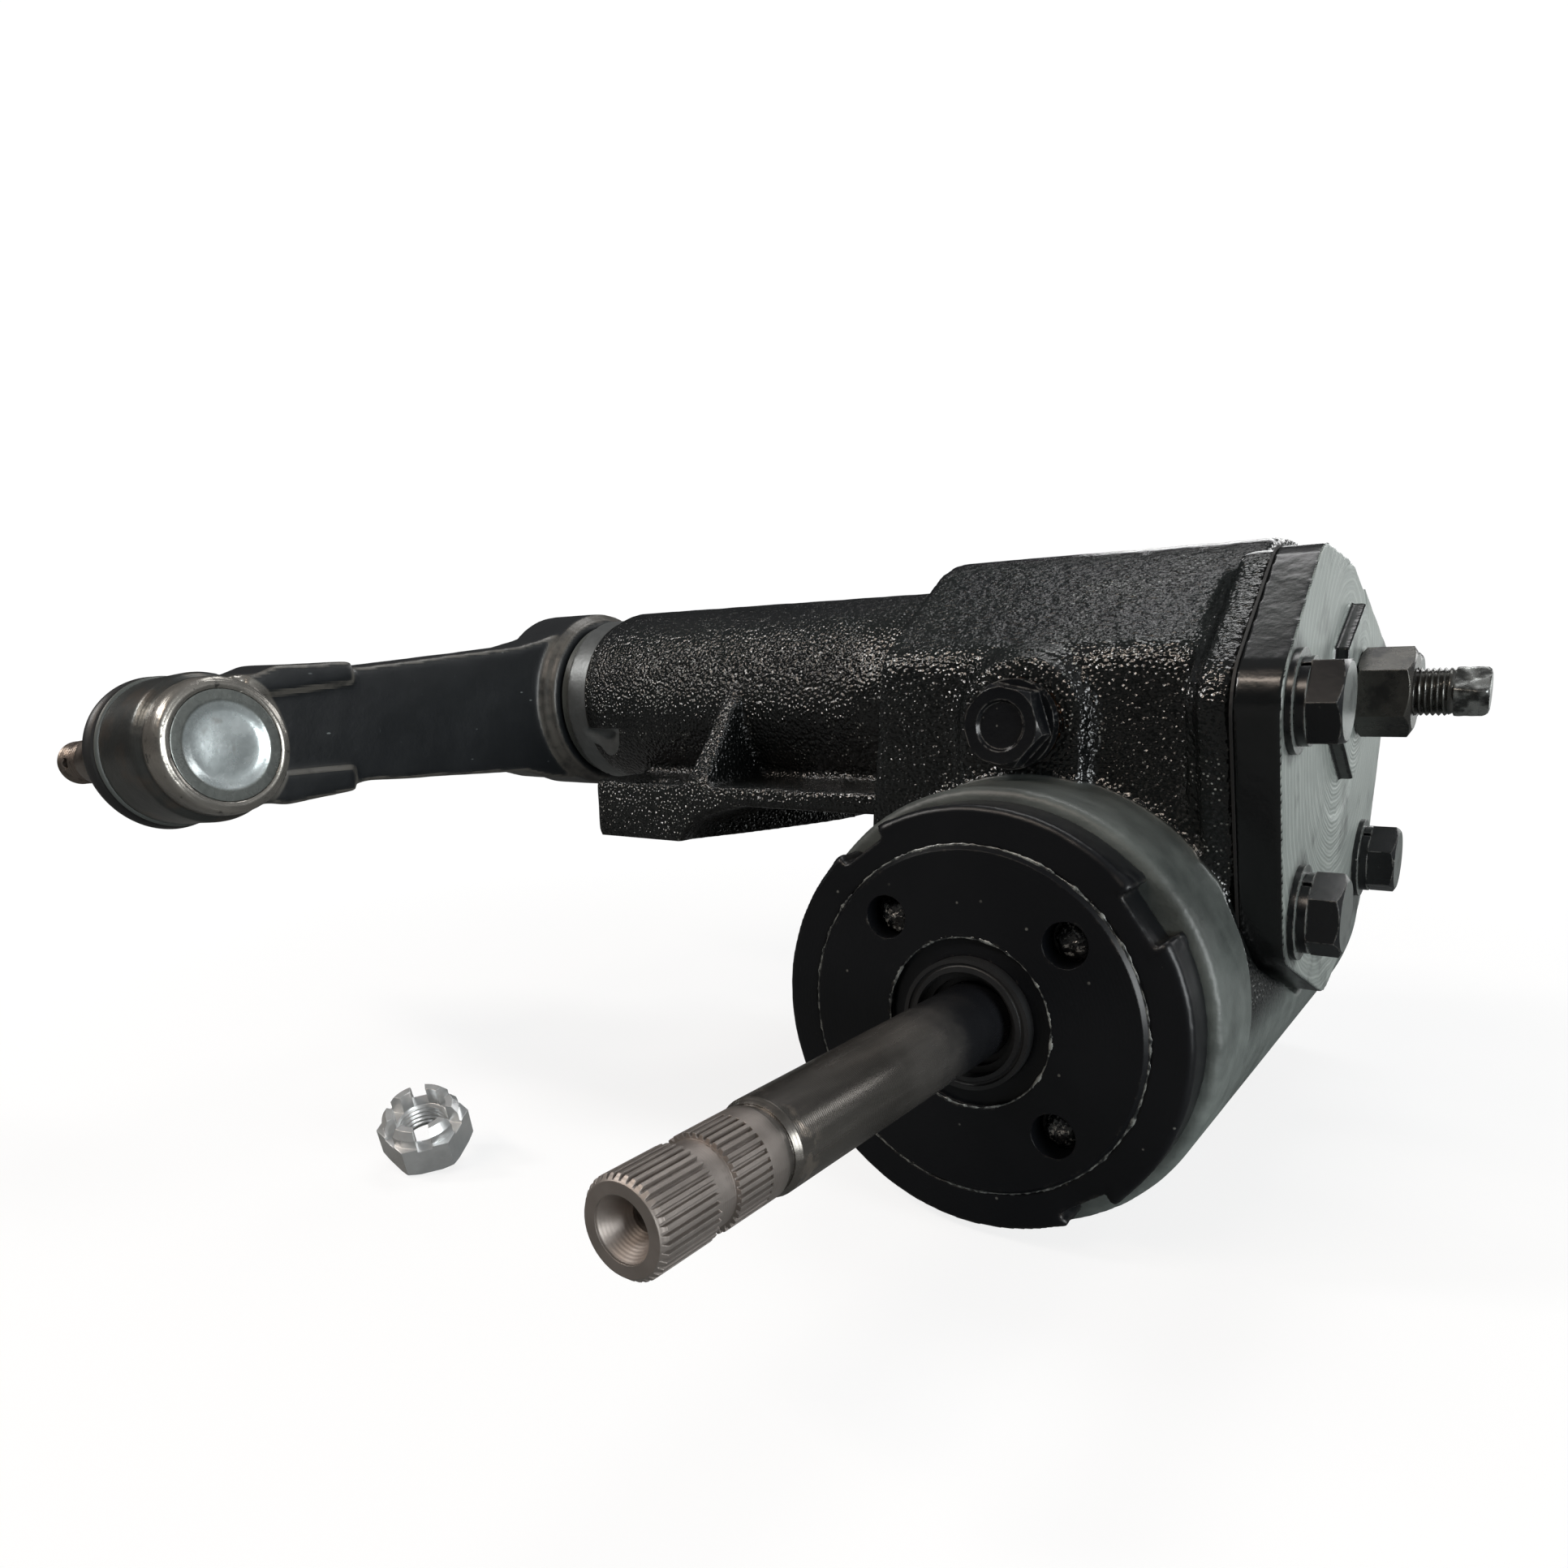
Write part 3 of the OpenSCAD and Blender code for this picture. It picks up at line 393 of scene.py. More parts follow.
def cover_material():
    """Turned plate face and boss top bare under a thin grey coat; every side is black."""
    mat = Shader("cover_paint")
    from_middle = abs(mat.y)
    for degrees in (60, 120):
        angle = math.radians(degrees)
        from_middle = from_middle.max(abs(mat.y * math.cos(angle) + mat.z * math.sin(angle)))
    flat = BOSS_FLATS / 2
    boss_top = (from_middle.fall(start=flat - 0.45, end=flat - 0.15)
                * mat.x.ramp(start=COVER_FACE - 0.6, end=COVER_FACE - 0.3))
    plate = (from_middle.ramp(start=flat + 0.15, end=flat + 0.45)
             * mat.x.ramp(start=COVER_FACE - 3.6, end=COVER_FACE - 3.3))
    face = boss_top.max(plate, clamp=True) * mat.facing[0].ramp(start=0.35, end=0.75)

    # tool marks of the facing cut
    from_axis = radius(mat.y, mat.z, centre=(0.0, 0.0))
    wandering = from_axis + mat.noise(size=16, detail=2) * 3.0
    fine_rings = wandering.wave(pitch=0.95)
    broad_rings = wandering.wave(pitch=2.7)
    polar = mat.node("CombineXYZ", {
        0: from_axis * 1.9, 1: mat.math("ARCTAN2", mat.z, mat.y) * 6.0, 2: 0.0})
    streak = mat.noise(size=1.0, detail=4, rough=0.7, vector=polar)
    height = ((fine_rings * 0.5 + broad_rings * 0.35) + streak * 1.3) * face
    face_normal = mat.bump(height, depth=0.05)
    normal = mat.bump(mat.noise(size=2.4) * (1.0 - face), depth=0.12, strength=0.7,
                      normal=face_normal)

    grey = streak.blend(low=(0.17, 0.19, 0.18), high=(0.33, 0.355, 0.335))
    arcs = ((broad_rings + fine_rings * 0.35)
            + (mat.noise(size=13, rough=0.6) - 0.5) * 3.2).ramp(start=0.2, end=1.1)
    grey = grey.tint(arcs * 0.36, color=(0.44, 0.47, 0.44))
    blotch = mat.noise(size=17, rough=0.6).ramp(start=0.54, end=0.72)
    grey = grey.tint(blotch * 0.6, color=(0.035, 0.039, 0.038))
    # dark ragged rings round the bolt heads, at these (y, z)
    for bolt in ((-51, 0), (51, 0), (-36, -41), (36, -45)):
        ragged = radius(mat.y, mat.z, bolt) + mat.noise(size=5, rough=0.6) * 6.0
        grey = grey.tint(ragged.fall(start=11.5, end=16.0) * 0.75, color=(0.016, 0.018, 0.018))
    black = mat.noise(size=12).blend(low=(0.0032, 0.0038, 0.0042), high=(0.0075, 0.0085, 0.0088))
    edge = (mat.pointiness.ramp(start=0.54, end=0.62)
            * mat.noise(size=2.2, rough=0.6).ramp(start=0.42, end=0.58))
    base = black.tint(face, grey).tint(edge * 0.5, color=(0.17, 0.175, 0.17))
    mat.finish(color=base, rough=face.between(low=0.24, high=0.42),
               metal=face.between(low=0.0, high=0.25), normal=normal)


def black_paint(name, dull, chips, edge_size, painted_end_glare=False):
    """Smooth thick black paint with dust specks and worn edges; on request a painted glare on the ends facing +X.
    """
    mat = Shader(name)
    broad = mat.noise(size=11)
    fine = mat.noise(size=0.8, rough=0.6)
    orange_peel = mat.noise(size=2.6, detail=2, rough=0.45)
    normal = mat.bump(orange_peel * 0.8 + fine * 0.3, depth=0.05, strength=0.8,
                      normal=mat.bevel(size=0.25))
    base = broad.blend(low=(0.0030, 0.0035, 0.0044), high=(0.0062, 0.0068, 0.0080))
    speck = (mat.cells(size=3.2).fall(start=0.05, end=0.1)
             * mat.noise(size=9, detail=2).ramp(start=0.5, end=0.6))
    base = base.tint(speck * 0.75, color=(0.14, 0.14, 0.13))
    if painted_end_glare:
        # painted glare: the ends facing +X get a patchy grey lightening of the base colour
        dust_and_glare = mat.noise(size=4.0, detail=4, rough=0.6).ramp(start=0.30, end=0.55, before=0.55)
        base = base.tint(mat.facing[0].ramp(start=0.9, end=0.98) * dust_and_glare,
                         color=(0.12, 0.13, 0.124))
    edge = (mat.worn(edge_size, start=0.02, end=0.2)
            * mat.noise(size=1.8, rough=0.65).ramp(start=0.40, end=0.58))
    base = base.tint(edge * chips, color=(0.30, 0.29, 0.27))
    mat.finish(color=base, rough=broad.between(low=0.22 + dull, high=0.34 + dull), normal=normal)


def disc_material():
    """Adjuster and lock ring: black paint over face turning, bare chips round the notches."""
    mat = Shader("smooth_black")
    from_axis = radius(mat.x, mat.z, centre=(0.0, WORM_Z_MM))
    turning = (from_axis + mat.noise(size=5, detail=2) * 0.3).wave(pitch=0.8)
    broad = mat.noise(size=14)
    normal = mat.bump(turning * 0.12 + mat.noise(size=2.8) * 1.0, depth=0.05, strength=0.7,
                      normal=mat.bevel(size=0.3))
    base = broad.blend(low=(0.0020, 0.0024, 0.0034), high=(0.0042, 0.0047, 0.0060))
    speck = (mat.cells(size=4.4).fall(start=0.045, end=0.085)
             * mat.noise(size=9, detail=2).ramp(start=0.46, end=0.58))
    base = base.tint(speck * 0.8, color=(0.13, 0.13, 0.12))
    near_notch = None
    for degrees in NOTCH_ANGLES:
        angle = math.radians(degrees)
        centre = (RING_RADIUS_MM * math.cos(angle),
                  WORM_Z_MM + RING_RADIUS_MM * math.sin(angle))
        near = radius(mat.x, mat.z, centre).fall(start=6.0, end=10.5)
        near_notch = near_notch.max(near) if near_notch else near
    edge = mat.worn(size=0.9, start=0.02, end=0.22)
    notch_chips = (near_notch * edge
                   * mat.noise(size=2.0, detail=4, rough=0.65).ramp(start=0.46, end=0.56))
    rim_chips = edge * mat.noise(size=1.4, detail=4, rough=0.7).ramp(start=0.56, end=0.68)
    bare = notch_chips.max(rim_chips * 0.45, clamp=True)
    base = base.tint(bare * 0.85, color=(0.19, 0.17, 0.145))
    mat.finish(color=base, rough=broad.between(low=0.3, high=0.4), normal=normal,
               metal=bare * 0.5, spec=0.32)


def arm_material():
    """Forged arm: satin blue-black dip paint, rubbed edges, burnished ball socket."""
    mat = Shader("arm_black")
    # distance from the ball's own axis decides what belongs to the socket
    offset, along = mat.from_ball()
    reach = mat.length(offset)
    off_axis = (reach * reach - along * along).max(0.0).sqrt()
    socket = off_axis.fall(start=18.6, end=19.6)
    rim = socket * along.ramp(start=6.2, end=7.6)
    broad = mat.noise(size=18, rough=0.55)
    scuff = mat.noise(size=0.9, detail=4, rough=0.7, vector=mat.scaled(0.35, 1.0, 0.35))
    scuff = (scuff.ramp(start=0.68, end=0.76)
             * mat.noise(size=12, detail=2).ramp(start=0.5, end=0.62))
    base = broad.blend(low=(0.0040, 0.0050, 0.0062), high=(0.0095, 0.0112, 0.0132))
    base = base.tint(scuff * 0.5, color=(0.11, 0.125, 0.13))
    edge = (mat.worn(size=1.6, start=0.015, end=0.12)
            * mat.noise(size=3.0, detail=4, rough=0.6).ramp(start=0.30, end=0.52))
    base = base.tint(edge * 0.5, color=(0.24, 0.235, 0.215))
    # painted highlight: the rolled-over borders of the +X face are lightened in the base colour
    roll = (mat.facing[0].ramp(start=0.20, end=0.45) * mat.facing[0].fall(start=0.86, end=0.97)
            * mat.noise(size=6.0, detail=4, rough=0.6).ramp(start=0.30, end=0.55, before=0.35))
    base = base.tint(roll * 0.75, color=(0.105, 0.098, 0.086))
    nick = (mat.cells(size=4.6, vector=mat.scaled(1.0, 0.55, 1.6)).fall(start=0.045, end=0.085)
            * mat.noise(size=14, detail=2).ramp(start=0.46, end=0.56))
    base = base.tint(nick * 0.7, color=(0.20, 0.22, 0.22))
    # socket band: heat-tinted dark steel
    band = mat.noise(size=6, rough=0.6).blend(
        low=(0.044, 0.048, 0.048), high=(0.098, 0.101, 0.096))
    heat = mat.noise(size=10, rough=0.6).ramp(start=0.5, end=0.66)
    band = band.tint(heat * 0.45, color=(0.12, 0.092, 0.072))
    # rim: rolled and burnished
    burnish = mat.noise(size=5, rough=0.6).blend(low=(0.21, 0.205, 0.19), high=(0.38, 0.355, 0.32))
    dark = mat.noise(size=2.6, detail=4, rough=0.65).ramp(start=0.60, end=0.68)
    burnish = burnish.tint(dark * 0.7, color=(0.018, 0.018, 0.02))
    base = base.tint(socket, band.tint(rim, burnish))
    forged = mat.bump(mat.noise(size=7) + mat.noise(size=1.2, rough=0.6) * 0.25,
                      depth=0.22, strength=0.7)
    normal = mat.bump(along.wave(pitch=0.55) * (socket * 0.25), depth=0.02, normal=forged)
    rough = socket.between(broad.between(low=0.34, high=0.5), rim.between(low=0.34, high=0.27))
    mat.finish(color=base, rough=rough, metal=socket * 0.75, normal=normal,
               coat=socket.between(low=0.12, high=0.0), coat_rough=0.3)


def steel(name, dark, pale, rough, metal=0.95, stain=None, bevel=0.15):
    """Machined or plated metal with stains and softened edges."""
    mat = Shader(name)
    cloud = mat.noise(size=5, detail=4, rough=0.6)
    base = cloud.blend(dark, pale)
    if stain:
        stained = mat.noise(size=6.5, detail=4, rough=0.65).ramp(start=0.5, end=0.66)
        base = base.tint(stained * 0.7, stain)
    normal = mat.bump(mat.noise(size=0.6, rough=0.6) * 0.6, depth=0.03, strength=0.8,
                      normal=mat.bevel(bevel))
    edge = mat.worn(bevel * 1.6, start=0.03, end=0.3)
    base = base.tint(edge * 0.35, color=tuple(min(1.0, v * 2.2) for v in pale))
    mat.finish(color=base, rough=cloud.between(*rough), metal=metal, normal=normal)


def shaft_material():
    """Input shaft: overspray black by the seal, dark oiled steel, brown-grey bare spline end."""
    mat = Shader("shaft_steel")
    from_tip = mat.y - SHAFT_TIP
    ragged = mat.noise(size=6, rough=0.6) * 14.0
    spline = from_tip.fall(start=24.0, end=28.5)
    black = (from_tip + ragged).ramp(start=60.0, end=94.0)
    cloud = mat.noise(size=4, detail=4, rough=0.6)
    streak = mat.noise(size=2.0, detail=4, rough=0.65, vector=mat.scaled(1.0, 0.12, 1.0))
    bare = cloud.blend(low=(0.24, 0.212, 0.194), high=(0.38, 0.342, 0.318))
    oiled = streak.blend(low=(0.10, 0.094, 0.086), high=(0.22, 0.205, 0.188))
    base = oiled.tint(spline, bare).tint(black, color=(0.0075, 0.008, 0.0095))
    # pale scuff next to the groove
    scuff = (from_tip.band(low=29.0, high=33.0, soft=1.6)
             * mat.noise(size=3.0, rough=0.6).ramp(start=0.5, end=0.62))
    base = base.tint(scuff * 0.8, color=(0.33, 0.29, 0.25))
    edge = mat.worn(size=0.3, start=0.03, end=0.3)
    base = base.tint(edge * 0.35, color=(0.40, 0.37, 0.34))
    height = mat.noise(size=0.7, rough=0.6) * 0.5 + mat.y.wave(pitch=0.45) * 0.22
    normal = mat.bump(height, depth=0.022, strength=0.9, normal=mat.bevel(size=0.18))
    rough = spline.between(streak.between(low=0.20, high=0.32),
                           cloud.between(low=0.42, high=0.55))
    mat.finish(color=base, rough=rough, metal=0.86 - black * 0.82, normal=normal,
               coat=black * 0.4, coat_rough=0.18)


def zinc_material():
    mat = Shader("bright_zinc")
    cloud = mat.noise(size=2.4, detail=4, rough=0.6)
    height = mat.noise(size=1.1, rough=0.6) + mat.noise(size=4.5, detail=2) * 1.4
    mat.finish(color=cloud.blend(low=(0.60, 0.61, 0.61), high=(0.86, 0.87, 0.87)),
               rough=cloud.between(low=0.18, high=0.30), metal=0.72,
               normal=mat.bump(height, depth=0.05, strength=0.7, normal=mat.bevel(size=0.2)))


def cap_material():
    """Pressed cap: blue-white zinc with a faint brown dirt film in the dish."""
    mat = Shader("cap_zinc")
    cloud = mat.noise(size=5.0, detail=4, rough=0.62)
    fine = mat.noise(size=1.3, rough=0.6)
    base = cloud.blend(low=(0.42, 0.475, 0.475), high=(0.80, 0.86, 0.87))
    dirt = mat.noise(size=7.0, rough=0.6, distortion=1.0).ramp(start=0.58, end=0.72)
    base = base.tint(dirt * 0.35, color=(0.20, 0.165, 0.14))
    # the flat ring round the dish is duller and darker
    offset = mat.vector("SUBTRACT", mat.position, tuple(v / MM for v in BALL))
    off_axis = mat.length(mat.vector("CROSS_PRODUCT", offset, tuple(BALL_AXIS)))
    flat = fine.blend(low=(0.13, 0.142, 0.135), high=(0.27, 0.285, 0.27))
    base = base.tint(off_axis.ramp(start=9.9, end=10.7), flat)
    mat.finish(color=base, rough=cloud.between(low=0.20, high=0.34), metal=0.72,
               normal=mat.bump(fine + cloud * 1.5, depth=0.05, strength=0.7))


def rubber_material():
    mat = Shader("seal_rubber")
    cloud = mat.noise(size=8)
    base = cloud.blend(low=(0.0075, 0.0078, 0.0082), high=(0.017, 0.0173, 0.018))
    dust_and_glare = (mat.noise(size=1.5, detail=4, rough=0.7).ramp(start=0.62, end=0.74)
            * mat.noise(size=9, detail=2).ramp(start=0.5, end=0.65))
    base = base.tint(dust_and_glare * 0.5, color=(0.06, 0.06, 0.058))
    # powdery grey where the boot's lip is stretched over the socket
    along = mat.from_ball()[1]
    lip = along.ramp(start=-14.2, end=-13.6) * mat.x.fall(start=-140.0, end=-139.0)
    base = base.tint(lip * 0.8, color=(0.085, 0.095, 0.090))
    height = mat.noise(size=0.5, detail=2) + mat.noise(size=3.0, detail=2)
    mat.finish(color=base, rough=cloud.between(low=0.36, high=0.52),
               normal=mat.bump(height, depth=0.04, strength=0.7), spec=0.45)


def gasket_material():
    mat = Shader("gasket")
    fibre = mat.noise(size=0.6, detail=4, rough=0.7)
    mat.finish(color=fibre.blend(low=(0.0045, 0.0045, 0.0045), high=(0.014, 0.013, 0.012)),
               rough=0.6, normal=mat.bump(fibre, depth=0.06, strength=0.8))


def plastic_material():
    mat = Shader("seat_plastic")
    mat.finish(color=mat.noise(size=6).blend(low=(0.55, 0.55, 0.5), high=(0.72, 0.72, 0.67)),
               rough=0.4, normal=mat.bump(mat.noise(size=1.0), depth=0.03, strength=0.5))


def lash_material():
    """Dark oxide thread, brighter patchy square drive."""
    mat = Shader("lash_steel")
    cloud = mat.noise(size=2.2, detail=4, rough=0.62)
    thread = cloud.blend(low=(0.055, 0.056, 0.054), high=(0.15, 0.148, 0.138))
    drive = mat.noise(size=3.2).ramp(start=0.40, end=0.60).blend(
        low=(0.07, 0.072, 0.07), high=(0.36, 0.37, 0.36))
    mat.finish(color=thread.tint(mat.x.ramp(start=DRIVE_BACK, end=SCREW_END - 5.6), drive),
               rough=cloud.between(low=0.20, high=0.36), metal=0.8,
               normal=mat.bump(mat.noise(size=0.8, rough=0.6), depth=0.05, strength=0.8))


def bead_material():
    mat = Shader("paint_bead")
    patches = mat.noise(size=1.6, rough=0.6).ramp(start=0.4, end=0.62)
    mat.finish(color=patches.blend(low=(0.012, 0.014, 0.015), high=(0.20, 0.21, 0.20)),
               rough=0.28, coat=0.5, coat_rough=0.15,
               normal=mat.bump(mat.noise(size=0.6, rough=0.6), depth=0.08, strength=0.8))


def wet_paint_material():
    mat = Shader("wet_paint")
    # the pale spots in the base colour are painted glints on the glossy paint
    patches = mat.noise(size=1.1, detail=4, rough=0.65).ramp(start=0.54, end=0.62)
    ripple = mat.noise(size=1.3, detail=4, rough=0.65)
    mat.finish(color=patches.blend(low=(0.006, 0.007, 0.008), high=(0.34, 0.35, 0.34)),
               rough=0.07, coat=1.0, coat_rough=0.06,
               normal=mat.bump(ripple, depth=0.5, strength=0.9))


casting_material()
cover_material()
gasket_material()
black_paint("bolt_black", dull=-0.02, chips=0.7, edge_size=0.4, painted_end_glare=True)
black_paint("plug_black", dull=-0.08, chips=0.55, edge_size=0.5)
disc_material()
rubber_material()
steel("bearing_steel", dark=(0.38, 0.38, 0.38), pale=(0.56, 0.56, 0.56), rough=(0.12, 0.25))
steel("ball_steel", dark=(0.6, 0.6, 0.61), pale=(0.75, 0.75, 0.76), rough=(0.05, 0.12))
steel("bush_bronze", dark=(0.36, 0.2, 0.07), pale=(0.55, 0.34, 0.13), rough=(0.25, 0.4))
steel("copper_washer", dark=(0.20, 0.085, 0.04), pale=(0.36, 0.16, 0.08), rough=(0.3, 0.5))
steel("oxide_steel", dark=(0.040, 0.040, 0.038), pale=(0.105, 0.100, 0.090), rough=(0.20, 0.34),
      metal=0.8, stain=(0.022, 0.023, 0.024), bevel=0.3)
zinc_material()
shaft_material()
steel("forged_steel", dark=(0.12, 0.115, 0.11), pale=(0.26, 0.25, 0.24), rough=(0.25, 0.45))
arm_material()
cap_material()
steel("stud_steel", dark=(0.14, 0.115, 0.10), pale=(0.31, 0.27, 0.24), rough=(0.28, 0.45),
      stain=(0.075, 0.06, 0.052), bevel=0.25)
plastic_material()
lash_material()
bead_material()
wet_paint_material()

for node_name, cad_piece in CAD.items():
    cad_slots = cad_piece.data.materials
    if len(cad_slots) == 0:
        cad_slots.append(MATERIALS[SLOT_OF[node_name]])
    for i in range(len(cad_slots)):
        cad_slots[i] = MATERIALS[SLOT_OF[node_name]]


# ---------- mesh helpers ----------
def link_object(name, data):
    piece = bpy.data.objects.new(name, data)
    scene.collection.objects.link(piece)
    return piece


def dress(piece, material):
    piece.data.materials.clear()
    piece.data.materials.append(MATERIALS[material])


def shade_smooth(mesh):
    mesh.polygons.foreach_set("use_smooth", [True] * len(mesh.polygons))


def crisp_edges(piece):
    """Smooth shading that stays sharp over edges above 40 degrees."""
    shade_smooth(piece.data)
    piece.data.set_sharp_from_angle(angle=math.radians(40))


def mesh_object(name, points, faces, material):
    """Object from points in metres from ORIGIN."""
    mesh = bpy.data.meshes.new(name)
    mesh.from_pydata([(float(point[0]) + ORIGIN.x, float(point[1]) + ORIGIN.y,
                       float(point[2]) + ORIGIN.z) for point in points], [], faces)
    mesh.validate()
    mesh.update()
    shade_smooth(mesh)
    piece = link_object(name, mesh)
    dress(piece, material)
    return piece


def declare(piece, body=None, replaced=None):
    """Parent a piece to its body's empty, and hide the CAD piece it stands for."""
    if body:
        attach(piece, body)
    if replaced:
        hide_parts(replaced)


def weld(piece, distance, close=False):
    """Merge near points and turn faces outward; close also fills the open ends."""
    bm = bmesh.new()
    bm.from_mesh(piece.data)
    bmesh.ops.remove_doubles(bm, verts=bm.verts, dist=distance)
    if close:
        rims = [edge for edge in bm.edges if edge.is_boundary]
        bmesh.ops.holes_fill(bm, edges=rims, sides=0)
    bmesh.ops.recalc_face_normals(bm, faces=bm.faces)
    bm.to_mesh(piece.data)
    bm.free()


def grid_faces(rows, columns, closed):
    """Quads of a grid whose columns wrap round; closed wraps the rows too."""
    faces = []
    for i in range(rows if closed else rows - 1):
        j = (i + 1) % rows
        for k in range(columns):
            l = (k + 1) % columns
            faces.append((i * columns + k, i * columns + l, j * columns + l, j * columns + k))
    return faces


# ---------- rounded skins over CAD pieces ----------
def remeshed(node, voxel):
    """Even quad skin of a CAD piece, and its own surface for snapping back to."""
    bm = bmesh.new()
    bm.from_mesh(CAD[node].data)
    bmesh.ops.remove_doubles(bm, verts=bm.verts, dist=2e-6)
    tree = BVHTree.FromBMesh(bm)
    mesh = bpy.data.meshes.new(node + "_src")
    bm.to_mesh(mesh)
    bm.free()
    source = link_object(node + "_src", mesh)
    remesh = source.modifiers.new("r", "REMESH")
    remesh.mode = "VOXEL"
    remesh.voxel_size = voxel * MM
    remesh.adaptivity = 0.0
    depsgraph = bpy.context.evaluated_depsgraph_get()
    result = bpy.data.meshes.new_from_object(source.evaluated_get(depsgraph))
    bpy.data.objects.remove(source)
    return result, tree


def read_vectors(vertices, attribute):
    values = np.empty(len(vertices) * 3)
    vertices.foreach_get(attribute, values)
    return values.reshape(-1, 3)


def relax(points, mesh, rounds, freedom):
    """Move each point halfway to its neighbours' mean, each round, scaled by its freedom."""
    edges = np.empty(len(mesh.edges) * 2, np.int64)
    mesh.edges.foreach_get("vertices", edges)
    edges = edges.reshape(-1, 2)
    here = np.concatenate([edges[:, 0], edges[:, 1]])
    there = np.concatenate([edges[:, 1], edges[:, 0]])
    degree = np.bincount(here, minlength=len(points)).astype(float)
    degree[degree == 0] = 1
    for _ in range(rounds):
        sums = [np.bincount(here, weights=points[there, k], minlength=len(points))
                for k in range(3)]
        mean = np.stack(sums, 1) / degree[:, None]
        points = points + (mean - points) * 0.5 * freedom[:, None]
    return points


def skin(name, node, voxel, rounds, keep, wobble, material, body):
    """A cast or forged version of a CAD piece. keep is 1 where the surface stays true;
    wobble pushes the rest along its normal. Both take points in metres from ORIGIN."""
    mesh, tree = remeshed(node, voxel)
    snapped = read_vectors(mesh.vertices, "co")
    for k in range(len(snapped)):
        nearest = tree.find_nearest(Vector(snapped[k]))[0]
        if nearest is not None:
            snapped[k] = nearest
    origin = np.array(ORIGIN)
    kept = np.clip(keep(snapped - origin), 0, 1)
    relaxed = relax(snapped, mesh, rounds, 1.0 - kept)
    points = relaxed * (1 - kept[:, None]) + snapped * kept[:, None]
    mesh.vertices.foreach_set("co", points.ravel())
    mesh.update()
    normals = read_vectors(mesh.vertices, "normal")
    push = wobble(points - origin) * (1 - kept)
    points = points + normals * push[:, None]
    mesh.vertices.foreach_set("co", points.ravel())
    mesh.update()
    mesh.name = name
    piece = link_object(name, mesh)
    shade_smooth(mesh)
    dress(piece, material)
    declare(piece, body, node)


def ripples(points, size, seed):
    """Noise at each point; size is the feature size in mm."""
    return np.array([noise.noise(Vector((x + seed, y - seed, z + 2 * seed)))
                     for x, y, z in points / (size * MM)])


# sand-cast housing with true machined seats
def housing_keep(points):
    x, y, z = (points / MM).T
    from_worm = np.hypot(x, z - WORM_Z_MM)
    from_sector = np.hypot(y, z)
    kept = np.zeros(len(points))
    kept[from_worm < 34.8] = 1                                              # worm bore
    kept[(from_worm < 43.4) & (y < -70.7)] = 1                              # mouth face
    kept[(from_sector < 21.8) & (x < -15.5)] = 1                            # sector bore
    kept[(from_sector < 24.9) & (x < -153.0) & (from_sector > 20)] = 1      # seal spigot
    kept[(x > GASKET_INNER - 0.15) & (from_sector < 60)] = 0.6              # cover seat
    kept[(x > -18) & (x < GASKET_INNER - 0.3) & (from_sector < 32.5)] = 1   # wide opening
    kept[(np.abs(z + 36.5) < 0.3) & (x < -86)] = 0.7                        # level band, -X end
    return kept


def housing_wobble(points):
    push = ripples(points, size=9.0, seed=1.7) * 0.10 + ripples(points, size=3.4, seed=5.1) * 0.05
    x, y, z = (points / MM).T
    from_worm = np.hypot(x, z - WORM_Z_MM)
    push[(from_worm < 45.4) & ((np.abs(y) > 50.5) | (z < -66))] *= 0.12
    return push * MM


skin("housing_casting", "housing", voxel=0.95, rounds=7, keep=housing_keep,
     wobble=housing_wobble, material="casting_paint", body=BODY)


# pitman arm: hot forging with drawn edges; the shaft eye and ball socket stay true
def arm_keep(points):
    _, y, z = (points / MM).T
    axis = np.array(BALL_AXIS)
    offset = points - np.array(BALL)
    along = offset @ axis / MM
    off_axis = np.linalg.norm(offset - np.outer(offset @ axis, axis), axis=1) / MM
    kept = np.zeros(len(points))
    kept[np.hypot(y, z) < 15.0] = 1
    kept[(off_axis < 13.4) & (along > -14.5)] = 1
    socket = off_axis < 18.2
    kept[socket] = np.maximum(kept[socket], 0.45)
    return kept


def arm_wobble(points):
    return (ripples(points, size=12.0, seed=3.3) * 0.12
            + ripples(points, size=4.0, seed=8.8) * 0.04) * MM


skin("pitman_arm_forging", "pitman_arm", voxel=0.75, rounds=9, keep=arm_keep,
     wobble=arm_wobble, material="arm_black", body="sector")


# side cover: cast plate with a turned face
def cover_keep(points):
    x, y, z = (points / MM).T
    kept = np.zeros(len(points))
    kept[x < GASKET_OUTER + 0.4] = 0.8
    kept[np.hypot(y, z) < 21] = 1
    kept[x > COVER_FACE - 0.5] = 0.2
    return kept


def cover_wobble(points):
    return ripples(points, size=8.0, seed=2.2) * 0.08 * MM


skin("side_cover_plate", "side_cover", voxel=0.5, rounds=3, keep=cover_keep,
     wobble=cover_wobble, material="cover_paint", body=BODY)


# lock ring: notches with raised, chipped lips
def ring_keep(points):
    return np.full(len(points), 0.35)


def ring_wobble(points):
    x, _, z = (points / MM).T
    z = z - WORM_Z_MM
    from_axis = np.hypot(x, z)
    bearing = np.degrees(np.arctan2(z, x))
    push = np.zeros(len(points))
    for k, notch in enumerate(NOTCH_ANGLES):
        turn = (bearing - notch + 180) % 360 - 180
        arc = np.abs(np.radians(turn) * 42.0)
        lip = np.exp(-((arc - 6.6) / 1.9) ** 2) * np.clip((from_axis - 37.0) / 3.0, 0, 1)
        push += lip * (0.30 + 0.5 * ripples(points, size=2.4, seed=4.0 + k))
    outer_edge = np.clip((from_axis - 40.0) / 1.5, 0, 1)
    push += 0.10 * ripples(points, size=3.0, seed=9.0) * outer_edge
    return np.clip(push, -0.6, 0.75) * MM


